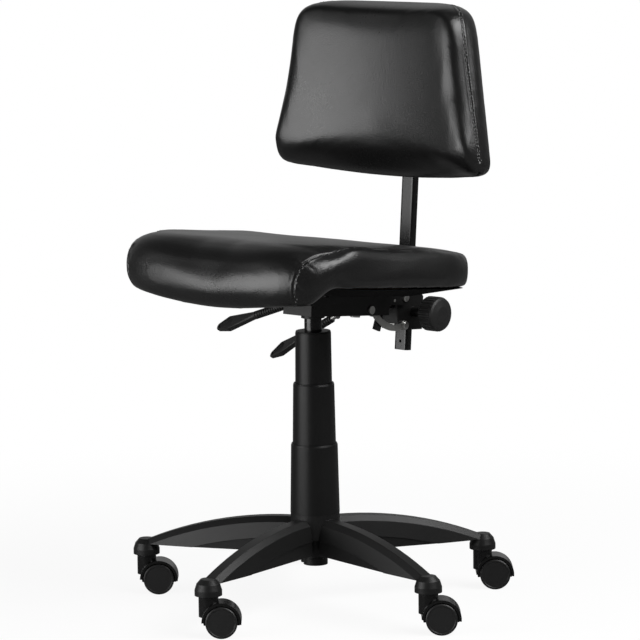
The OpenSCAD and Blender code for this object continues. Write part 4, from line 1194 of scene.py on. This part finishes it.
class Seat(Upholstery):
    """The waterfall seat: filled cushion, side seams with stitches and the tucked lower edge.

    Attributes:
        SEAM: Run of a side panel's seam in the cushion's frame, in millimetres, from under
            the front corner up and back along the side.
        CREASES: Pulls beside the corner seam: start, end, depth and half width, in millimetres.
        CREASE_RIDGE: Height of the roll beside a crease, as a share of its depth.
        PUCKER: Small fold in front of the corner seam, in millimetres.
        PUCKER_PULL: Its pull, in millimetres.
        PUCKER_REACH: Its radius.
        REFINED: Reach of the finer mesh along the seam.
        PRESSED: Depth, half width and ridge of the seam.
        STITCH_ASIDE: Distance of the stitches from the seam.
        UNDERCLOTH: Lowest cosine between a face of the under cloth and straight down.
    """

    SEAM = (
        (172.0, -232.0, 24.0),
        (174.0, -238.0, 31.0),
        (175.5, -241.5, 38.0),
        (176.0, -243.0, 46.0),
        (176.5, -243.7, 54.0),
        (178.2, -242.6, 63.3),
        (179.9, -239.6, 74.0),
        (183.3, -235.0, 82.6),
        (187.5, -228.0, 90.5),
        (191.5, -216.7, 97.6),
        (193.8, -193.3, 104.0),
        (196.4, -167.4, 108.0),
        (198.3, -133.7, 110.0),
        (198.5, -94.4, 109.5),
        (199.0, -40.0, 108.0),
        (199.0, 20.0, 106.0),
        (198.0, 70.0, 104.0),
        (194.0, 120.0, 101.0),
        (189.0, 150.0, 96.0),
        (184.0, 165.0, 84.0),
        (181.0, 171.0, 66.0),
    )
    CREASES = (
        ((186.0, -231.0, 86.0), (199.0, -224.0, 77.0), 0.3, 5.0),
        ((192.0, -213.0, 97.0), (209.0, -200.0, 80.0), 0.25, 7.0),
        ((176.0, -243.0, 54.0), (188.0, -234.0, 42.0), 0.5, 4.6),
    )
    PUCKER = (177.0, -236.0, 88.0)
    CREASE_RIDGE = 0.4
    PUCKER_PULL = (0.0, -1.2, 1.6)
    PUCKER_REACH = 5.0 * MM
    REFINED = 16.0 * MM
    PRESSED = (1.8 * MM, 3.0 * MM, 0.5 * MM)
    STITCH_ASIDE = 3.0 * MM
    UNDERCLOTH = 0.9

    def __init__(self, finishes: Finishes) -> None:
        """Set the sizes.

        Args:
            finishes: All finishes of the chair.
        """
        super().__init__(finishes, SeatForm())

    def build(self) -> None:
        """Make the cushion and its stitches."""
        cushion = self.shell("seat_upholstery")
        self.fill(cushion, Filling(5.5 * MM, rounds=16))
        sewing = Stitching(thick=0.5 * MM, proud=0.15 * MM)
        for side in (1.0, -1.0):
            line, _ = self.trace(cushion, self.guide(self.SEAM, side))
            self.refine(cushion, line, self.REFINED)
            self.crease(cushion, side)
            line, _ = self.trace(cushion, line)
            self.press(cushion, line, *self.PRESSED)
            line, up = self.trace(cushion, line)
            sewing.sew(self.surface(cushion), line, up, side * self.STITCH_ASIDE)
        self.cover(cushion, "mechanism", "seat_cushion", 0.85)
        self.line_underside(cushion)
        stitches = from_bmesh(sewing.mesh, "seat_stitches")
        settle(stitches, "mechanism", self.finishes.thread)

    def crease(self, cushion: bpy.types.Object, side: float) -> None:
        """Press the creases and the pucker of one front corner.

        Args:
            cushion: The seat cushion.
            side: Side of the chair, 1 or -1.
        """
        for start, end, deep, wide in self.CREASES:
            line, _ = self.trace(cushion, self.guide((start, end), side))
            self.press(cushion, line, deep * MM, wide * MM, deep * self.CREASE_RIDGE * MM)
        (pucker,) = self.guide([self.PUCKER], side)
        self.pinch(cushion, pucker, Vector(self.PUCKER_PULL) * MM, self.PUCKER_REACH)

    def line_underside(self, cushion: bpy.types.Object) -> None:
        """Give the flat underside its cloth.

        Args:
            cushion: The seat cushion.
        """
        form = self.form
        cushion.data.materials.append(self.finishes.cloth)
        back = form.frame().inverted()
        down = form.frame().to_3x3() @ Vector((0.0, 0.0, -1.0))
        depth = form.under + form.cloth_depth
        for face in cushion.data.polygons:
            spot = back @ face.center
            flat = face.normal.dot(down) > self.UNDERCLOTH
            if flat and spot.z < depth and spot.y > form.roll_from:
                face.material_index = 1


@dataclass
class BackForm:
    """Sizes of the backrest pad, in the bar's frame with Z forwards.

    Attributes:
        low: Lowest place of the pad along the bar.
        bow: Drop of the lower edge's middle below its corners.
        taper: Narrowing towards the top, as a share of the width.
        rear: Distance of the rear face in front of the bar's axis.
        edge: Thickness of the pad at its edge.
        curve: Radius of the curve round the sitter.
        low_power: Fullness of the bottom's rounding, round_power that of the others.
        waist: Where the edge is widest, as a share of its thickness, low_waist at the bottom.
        power_high: Squareness of the upper corners, power_low that of the lower ones.
        pivot: Height along the bar about which the pad is turned forward.
        slim: How much slimmer the filling form is.
        held_depth: Depth of what the shell holds.
        LOW_END: Share of the form's way at which the rear face ends.
        HIGH_END: Share at which the front face begins.
        END_FROM: Sine of the turn at which a side becomes the top or bottom edge.
        END_SPAN: Span of that change.
        FADE: How far the crown keeps off the edge.
    """

    width: float = 442.0 * MM
    height: float = 293.0 * MM
    low: float = 218.0 * MM
    bow: float = 18.0 * MM
    taper: float = 0.215
    rear: float = 17.8 * MM
    edge: float = 70.0 * MM
    crown: float = 1.5 * MM
    curve: float = 800.0 * MM
    rear_round: float = 14.0 * MM
    side_round: float = 26.0 * MM
    top_round: float = 16.0 * MM
    low_round: float = 95.0 * MM
    low_power: float = 1.2
    waist: float = 0.5
    low_waist: float = 0.32
    round_power: float = 0.75
    crown_power: float = 2.4
    power_high: float = 8.0
    power_low: float = 18.0
    pivot: float = 228.0 * MM
    turn: float = math.radians(3.5)
    lean: float = math.radians(4.6)
    bar_y: float = 225.4 * MM
    knob_z: float = 451.0 * MM
    slim: float = 1.5 * MM
    held_depth: float = 7.0 * MM
    LOW_END, HIGH_END = 0.25, 0.62
    END_FROM, END_SPAN = 0.5, 0.35
    FADE = 6

    def frame(self) -> Matrix:
        """Matrix from the pad's frame to the row frame.

        Returns:
            The matrix.
        """
        bar = Matrix.Translation((0.0, self.bar_y, self.knob_z))
        facing = bar @ Matrix.Rotation(-self.lean, 4, "X") @ Matrix.Rotation(math.pi / 2.0, 4, "X")
        foot = Matrix.Translation((0.0, self.pivot, 0.0))
        return facing @ foot @ Matrix.Rotation(self.turn, 4, "X") @ foot.inverted()

    def held(self, spot: Vector) -> bool:
        """Whether a point of the rear face lies on the shell."""
        return spot.z < self.rear + self.sag(spot.x) + self.held_depth

    def middle(self) -> Vector:
        """Middle of the outline."""
        return Vector((0.0, self.low + self.bow + (self.height - self.bow) / 2.0, 0.0))

    def outline(self, turn: float) -> Vector:
        """Point of the outline.

        Args:
            turn: Angle round the outline.

        Returns:
            The point in the pad's frame.
        """
        power = self.power_low if math.sin(turn) < 0.0 else self.power_high
        spot = oblong(turn, self.width / 2.0, self.height / 2.0, power)
        share = spot.y / self.height + 0.5
        bow = 0.0
        if spot.y < 0.0:
            across = 1.0 - (2.0 * spot.x / self.width) ** 2
            bow = self.bow * across * -2.0 * spot.y / self.height
        tall = spot.y * (self.height - self.bow) / self.height
        return Vector((spot.x * (1.0 - self.taper * share), self.middle().y + tall - bow, 0.0))

    def sag(self, x: float) -> float:
        """Depth of the curve round the sitter."""
        return self.curve - math.sqrt(self.curve**2 - x * x)

    def front_round(self, turn: float) -> float:
        """Depth of the rounding towards the front: tight at the top, wide at the bottom."""
        end = self.top_round if math.sin(turn) > 0.0 else self.low_round
        return self.side_round + (end - self.side_round) * self.end_share(turn)

    def end_share(self, turn: float) -> float:
        """Share by which a turn belongs to the top or to the bottom edge, and not to a side."""
        return smooth((abs(math.sin(turn)) - self.END_FROM) / self.END_SPAN)

    def low_blend(self, turn: float, plain: float, low: float) -> float:
        """Value that changes from the plain one to the one of the bottom edge."""
        return plain + (low - plain) * (self.end_share(turn) if math.sin(turn) < 0.0 else 0.0)

    def bulge(self, x: float, y: float) -> float:
        """Height of the crowned front over its edge.

        Args:
            x: Place across the backrest.
            y: Place along it.

        Returns:
            The height over the edge.
        """
        share = (y - self.low) / self.height
        half_w = self.width / 2.0 * (1.0 - self.taper * share) - self.side_round
        half_h = self.height / 2.0 - self.top_round
        u = min(abs(x) / half_w, 1.0)
        v = min(abs(y - self.middle().y) / half_h, 1.0)
        return self.crown * (1.0 - u**self.crown_power) * (1.0 - v**self.crown_power)

    def rim(self, turn: float, lean: float, slim: float = 0.0) -> Vector:
        """Point on the edge.

        Args:
            turn: Angle round the outline.
            lean: Angle from the rear to the front, within a quarter turn of 0.
            slim: Distance inside the outer form.

        Returns:
            The point in the pad's frame.
        """
        edge, middle = self.outline(turn), self.middle()
        depth, power = self.rear_round, self.round_power
        if lean > 0.0:
            depth = self.front_round(turn)
            power = self.low_blend(turn, self.round_power, self.low_power)
        inset = depth * (1.0 - abs(math.cos(lean)) ** power) + slim
        out = edge - middle
        spot = middle + out * (1.0 - inset / out.length)
        share = self.low_blend(turn, self.waist, self.low_waist)
        part = share + (1.0 - share if lean > 0.0 else share) * math.sin(lean)
        deep = (self.edge - 2.0 * slim) * part + slim
        return Vector((spot.x, spot.y, self.rear + self.sag(spot.x) + deep))

    def place(self, turn: float, share: float) -> Vector:
        """Point of the slightly slimmer filling form.

        Args:
            turn: Angle round the outline.
            share: Share of the way from the rear to the front pole.

        Returns:
            The point in the pad's frame.
        """
        if self.LOW_END <= share <= self.HIGH_END:
            way = (share - self.LOW_END) / (self.HIGH_END - self.LOW_END)
            return self.rim(turn, math.pi * (way - 0.5), self.slim)
        ahead = share > self.HIGH_END
        rim = self.rim(turn, math.pi / 2.0 if ahead else -math.pi / 2.0, self.slim)
        k = (1.0 - share) / (1.0 - self.HIGH_END) if ahead else share / self.LOW_END
        middle = self.middle()
        x, y = rim.x * k, middle.y + (rim.y - middle.y) * k
        if not ahead:
            return Vector((x, y, self.rear + self.slim + self.sag(x)))
        rise = self.edge - self.slim + self.bulge(x, y) * (1.0 - k**self.FADE)
        return Vector((x, y, self.rear + self.sag(x) + rise))


class Backrest(Upholstery):
    """The backrest: filled pad with stitched side seams and a strip round its lower edge.

    Attributes:
        SEAM: Run of a side seam in the pad's frame, in millimetres, from the lower corner up
            the side and over the top corner.
        LOW_LEAN: Place of the lower seam on the edge's roll.
        LOW_TURNS: First and last turn of the lower seam.
        LOW_STEPS: Steps between them.
        CORNER: Lower corner where the seams meet, in millimetres.
        CORNER_PULL: Pull of its ear, in millimetres.
        CORNER_REACH: Radius of its ear.
        REFINED: Reach of the finer mesh along the seams.
        SIDE_PRESSED: Depth, half width and ridge of a side seam.
        LOW_PRESSED: Depth, half width and ridge of the lower seam.
        STITCH_ASIDE: Distance of the two rows of stitches from a side seam.
    """

    SEAM = (
        (213.5, 262.0, 84.0),
        (210.5, 288.6, 85.7),
        (204.7, 320.0, 86.5),
        (196.8, 359.2, 84.8),
        (189.4, 398.4, 83.8),
        (182.5, 437.7, 83.2),
        (176.3, 469.0, 81.1),
        (168.2, 487.6, 76.5),
        (157.0, 502.0, 69.0),
        (145.0, 509.0, 60.0),
        (130.0, 512.0, 50.0),
    )
    LOW_LEAN = math.radians(10.0)
    CORNER = (214.0, 243.0, 74.0)
    LOW_TURNS = (math.radians(224.0), math.radians(316.0))
    LOW_STEPS = 60
    CORNER_PULL = (2.6, -2.0, 0.0)
    CORNER_REACH = 4.5 * MM
    REFINED = 9.0 * MM
    SIDE_PRESSED = (1.6 * MM, 3.4 * MM, 0.6 * MM)
    LOW_PRESSED = (1.8 * MM, 3.2 * MM, 0.5 * MM)
    STITCH_ASIDE = 2.8 * MM

    def __init__(self, finishes: Finishes) -> None:
        """Set the sizes.

        Args:
            finishes: All finishes of the chair.
        """
        super().__init__(finishes, BackForm())

    def low_guide(self) -> List[Vector]:
        """Guide of the seam round the lower edge, from one side to the other.

        Returns:
            Points in the row frame.
        """
        form = self.form
        first, last = self.LOW_TURNS
        turns = [first + (last - first) * k / self.LOW_STEPS for k in range(self.LOW_STEPS + 1)]
        return [form.frame() @ form.rim(turn, self.LOW_LEAN) for turn in turns]

    def build(self) -> None:
        """Make the pad and its stitches."""
        pad = self.shell("back_upholstery")
        self.fill(pad, Filling(5.0 * MM, rounds=18))
        sewing = Stitching()
        for side in (1.0, -1.0):
            line, _ = self.trace(pad, self.guide(self.SEAM, side))
            self.refine(pad, line, self.REFINED)
            self.press(pad, line, *self.SIDE_PRESSED)
            line, up = self.trace(pad, line)
            surface = self.surface(pad)
            for aside in (self.STITCH_ASIDE, -self.STITCH_ASIDE):
                sewing.sew(surface, line, up, aside)
        line, _ = self.trace(pad, self.low_guide())
        self.refine(pad, line, self.REFINED)
        self.press(pad, line, *self.LOW_PRESSED)
        for side in (1.0, -1.0):
            self.draw_corner(pad, side)
        self.cover(pad, "back", "back_pad", 0.85)
        stitches = from_bmesh(sewing.mesh, "back_stitches")
        settle(stitches, "back", self.finishes.thread)

    def draw_corner(self, pad: bpy.types.Object, side: float) -> None:
        """Draw a small ear out of a lower corner.

        Args:
            pad: The backrest's pad.
            side: Side of the chair, 1 or -1.
        """
        (corner,) = self.guide([self.CORNER], side)
        spot = self.surface(pad).find_nearest(corner)[0]
        across, along, ahead = self.CORNER_PULL
        out = self.form.frame().to_3x3() @ Vector((side * across, along, ahead)) * MM
        self.pinch(pad, spot, out, self.CORNER_REACH)


@dataclass
class Softbox:
    """A rectangular studio lamp that looks at a point.

    Attributes:
        name: Name of the lamp.
        azimuth: Degrees from the front to the sitter's left.
        elevation: Degrees above the target.
        away: Distance from the target.
        wide: Width of the box.
        high: Height of the box.
        radiance: Light from each part of it.
        target: Point that it looks at.
    """

    name: str
    azimuth: float
    elevation: float
    away: float
    wide: float
    high: float
    radiance: float
    target: Triple

    def hang(self) -> None:
        """Add the lamp to the scene."""
        data = bpy.data.lights.new(self.name, "AREA")
        data.shape = "RECTANGLE"
        data.size, data.size_y = self.wide, self.high
        data.energy = self.radiance * math.pi * self.wide * self.high
        lamp = add(self.name, data)
        out = aim(math.radians(self.azimuth), math.radians(self.elevation))
        lamp.location = Vector(self.target) + out * self.away
        lamp.rotation_euler = out.to_track_quat("Z", "Y").to_euler()


@dataclass
class Studio:
    """Camera, lamps, world and floor.

    Attributes:
        focal_px: Focal length in pixels of the photograph.
        frame_px: Width of the photograph.
        azimuth_shift: Degrees by which the camera stands beside its own azimuth.
        bright_way: Way in which a mirror sees the bright backdrop.
        bright_range: Cosines between which the backdrop brightens.
        bright: Its light in a mirror.
        dim: Light of the rest of the room in a mirror.
        even: Light of the world on matt surfaces.
        floor_white: Share of plain white that the camera sees of the floor near the chair.
        floor_more: Share that is added away from it.
        floor_range: Distances between which it is added.
        floor_mirror: Share of plain light that a mirror sees of the floor.
        floor_glow: Strength of that light.
    """

    focal_px: float = 3463.42
    frame_px: float = 640.0
    sensor: float = 36.0
    distance: float = 5.4906
    height: float = 1.23175
    azimuth: float = 42.0
    azimuth_shift: float = 0.1177
    pitch: float = 7.9975
    roll: float = -0.6377
    view_end: float = 100.0
    bright_way: Triple = (-0.64, 0.76, 0.06)
    bright_range: Tuple[float, float] = (0.35, 0.95)
    bright: float = 0.36
    dim: float = 0.06
    even: float = 0.2
    floor_radius: float = 30.0
    floor_sides: int = 64
    floor_tone: float = 0.8
    floor_white: float = 0.9
    floor_more: float = 0.1
    floor_range: Tuple[float, float] = (0.4, 1.6)
    floor_mirror: float = 0.85
    floor_glow: float = 0.08
    lamps: Sequence[Softbox] = (
        Softbox("key", -19.0, -1.0, 2.3, 2.1, 1.15, 6.2, (0.0, 0.0, 0.6)),
        Softbox("key_high", -42.0, 24.0, 2.9, 1.2, 0.9, 0.7, (0.0, 0.0, 0.7)),
        Softbox("side", 103.0, 38.0, 2.6, 2.4, 1.4, 9.0, (0.0, 0.0, 0.55)),
        Softbox("top", 10.0, 86.0, 3.2, 1.2, 1.2, 0.25, (0.0, 0.0, 0.5)),
    )

    def camera(self) -> None:
        """Add the camera at the photographed view."""
        az, tip, roll = (math.radians(v) for v in (self.azimuth, self.pitch, self.roll))
        place_az = az + math.radians(self.azimuth_shift)
        back = aim(az, tip)
        right = Vector((math.cos(az), math.sin(az), 0.0))
        up = back.cross(right)
        side = right * math.cos(roll) + up * math.sin(roll)
        top = up * math.cos(roll) - right * math.sin(roll)
        data = bpy.data.cameras.new("photo_camera")
        data.sensor_width = self.sensor
        data.sensor_fit = "HORIZONTAL"
        data.lens = self.sensor * self.focal_px / self.frame_px
        data.clip_end = self.view_end
        made = add("photo_camera", data)
        turn = Matrix((side, top, back)).transposed().to_4x4()
        x, y = math.sin(place_az) * self.distance, -math.cos(place_az) * self.distance
        made.matrix_world = Matrix.Translation(Vector((x, y, self.height))) @ turn
        bpy.context.scene.camera = made

    def world(self) -> None:
        """White behind the chair, dim above it, with an even glow for diffuse light."""
        world = bpy.data.worlds.new("studio")
        bpy.context.scene.world = world
        world.use_nodes = True
        graph = Graph(world.node_tree)
        camera, mirrored = graph.rays()
        way = graph.pick("ShaderNodeTexCoord", output="Generated")
        ways = {0: way, 1: Vector(self.bright_way).normalized()}
        near = graph.pick("ShaderNodeVectorMath", {"operation": "DOT_PRODUCT"}, ways, "Value")
        seen = camera + mirrored * (self.dim + near.step(*self.bright_range) * self.bright)
        strength = seen + (1.0 - camera.highest(mirrored)) * self.even
        light = {"Color": shade(1.0), "Strength": strength}
        glow = graph.pick("ShaderNodeBackground", None, light)
        graph.node("ShaderNodeOutputWorld", None, {"Surface": glow})

    def floor(self) -> None:
        """A wide pale floor that keeps the chair's shadow."""
        mesh = bmesh.new()
        bmesh.ops.create_circle(
            mesh, cap_ends=True, radius=self.floor_radius, segments=self.floor_sides
        )
        made = from_bmesh(mesh, "studio_floor")
        skin = bpy.data.materials.new("pale_floor")
        skin.use_nodes = True
        graph = Graph(skin.node_tree)
        camera, mirrored = graph.rays()
        at = graph.pick("ShaderNodeTexCoord", output="Object")
        away = graph.pick("ShaderNodeVectorMath", {"operation": "LENGTH"}, {0: at}, "Value")
        matt = graph.pick("ShaderNodeBsdfDiffuse", None, {"Color": shade(self.floor_tone)})
        light = {"Color": shade(1.0), "Strength": camera + mirrored * self.floor_glow}
        white = graph.pick("ShaderNodeEmission", None, light)
        plain = self.floor_white + away.step(*self.floor_range) * self.floor_more
        share = camera * plain + mirrored * self.floor_mirror
        mixed = graph.pick("ShaderNodeMixShader", None, {0: share, 1: matt, 2: white})
        graph.node("ShaderNodeOutputMaterial", None, {"Surface": mixed})
        made.data.materials.append(skin)

    def build(self) -> None:
        """Set up everything round the chair."""
        self.camera()
        self.world()
        self.floor()
        for lamp in self.lamps:
            lamp.hang()
        bpy.context.scene.view_settings.view_transform = "Standard"


def main() -> None:
    """Build every part of the scene in order."""
    logging.basicConfig(level=logging.INFO, format="%(name)s: %(message)s")
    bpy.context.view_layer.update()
    finishes = Finishes()
    Studio().build()
    finishes.dress_nodes()
    Seat(finishes).build()
    Backrest(finishes).build()


if __name__ == "__main__":
    main()
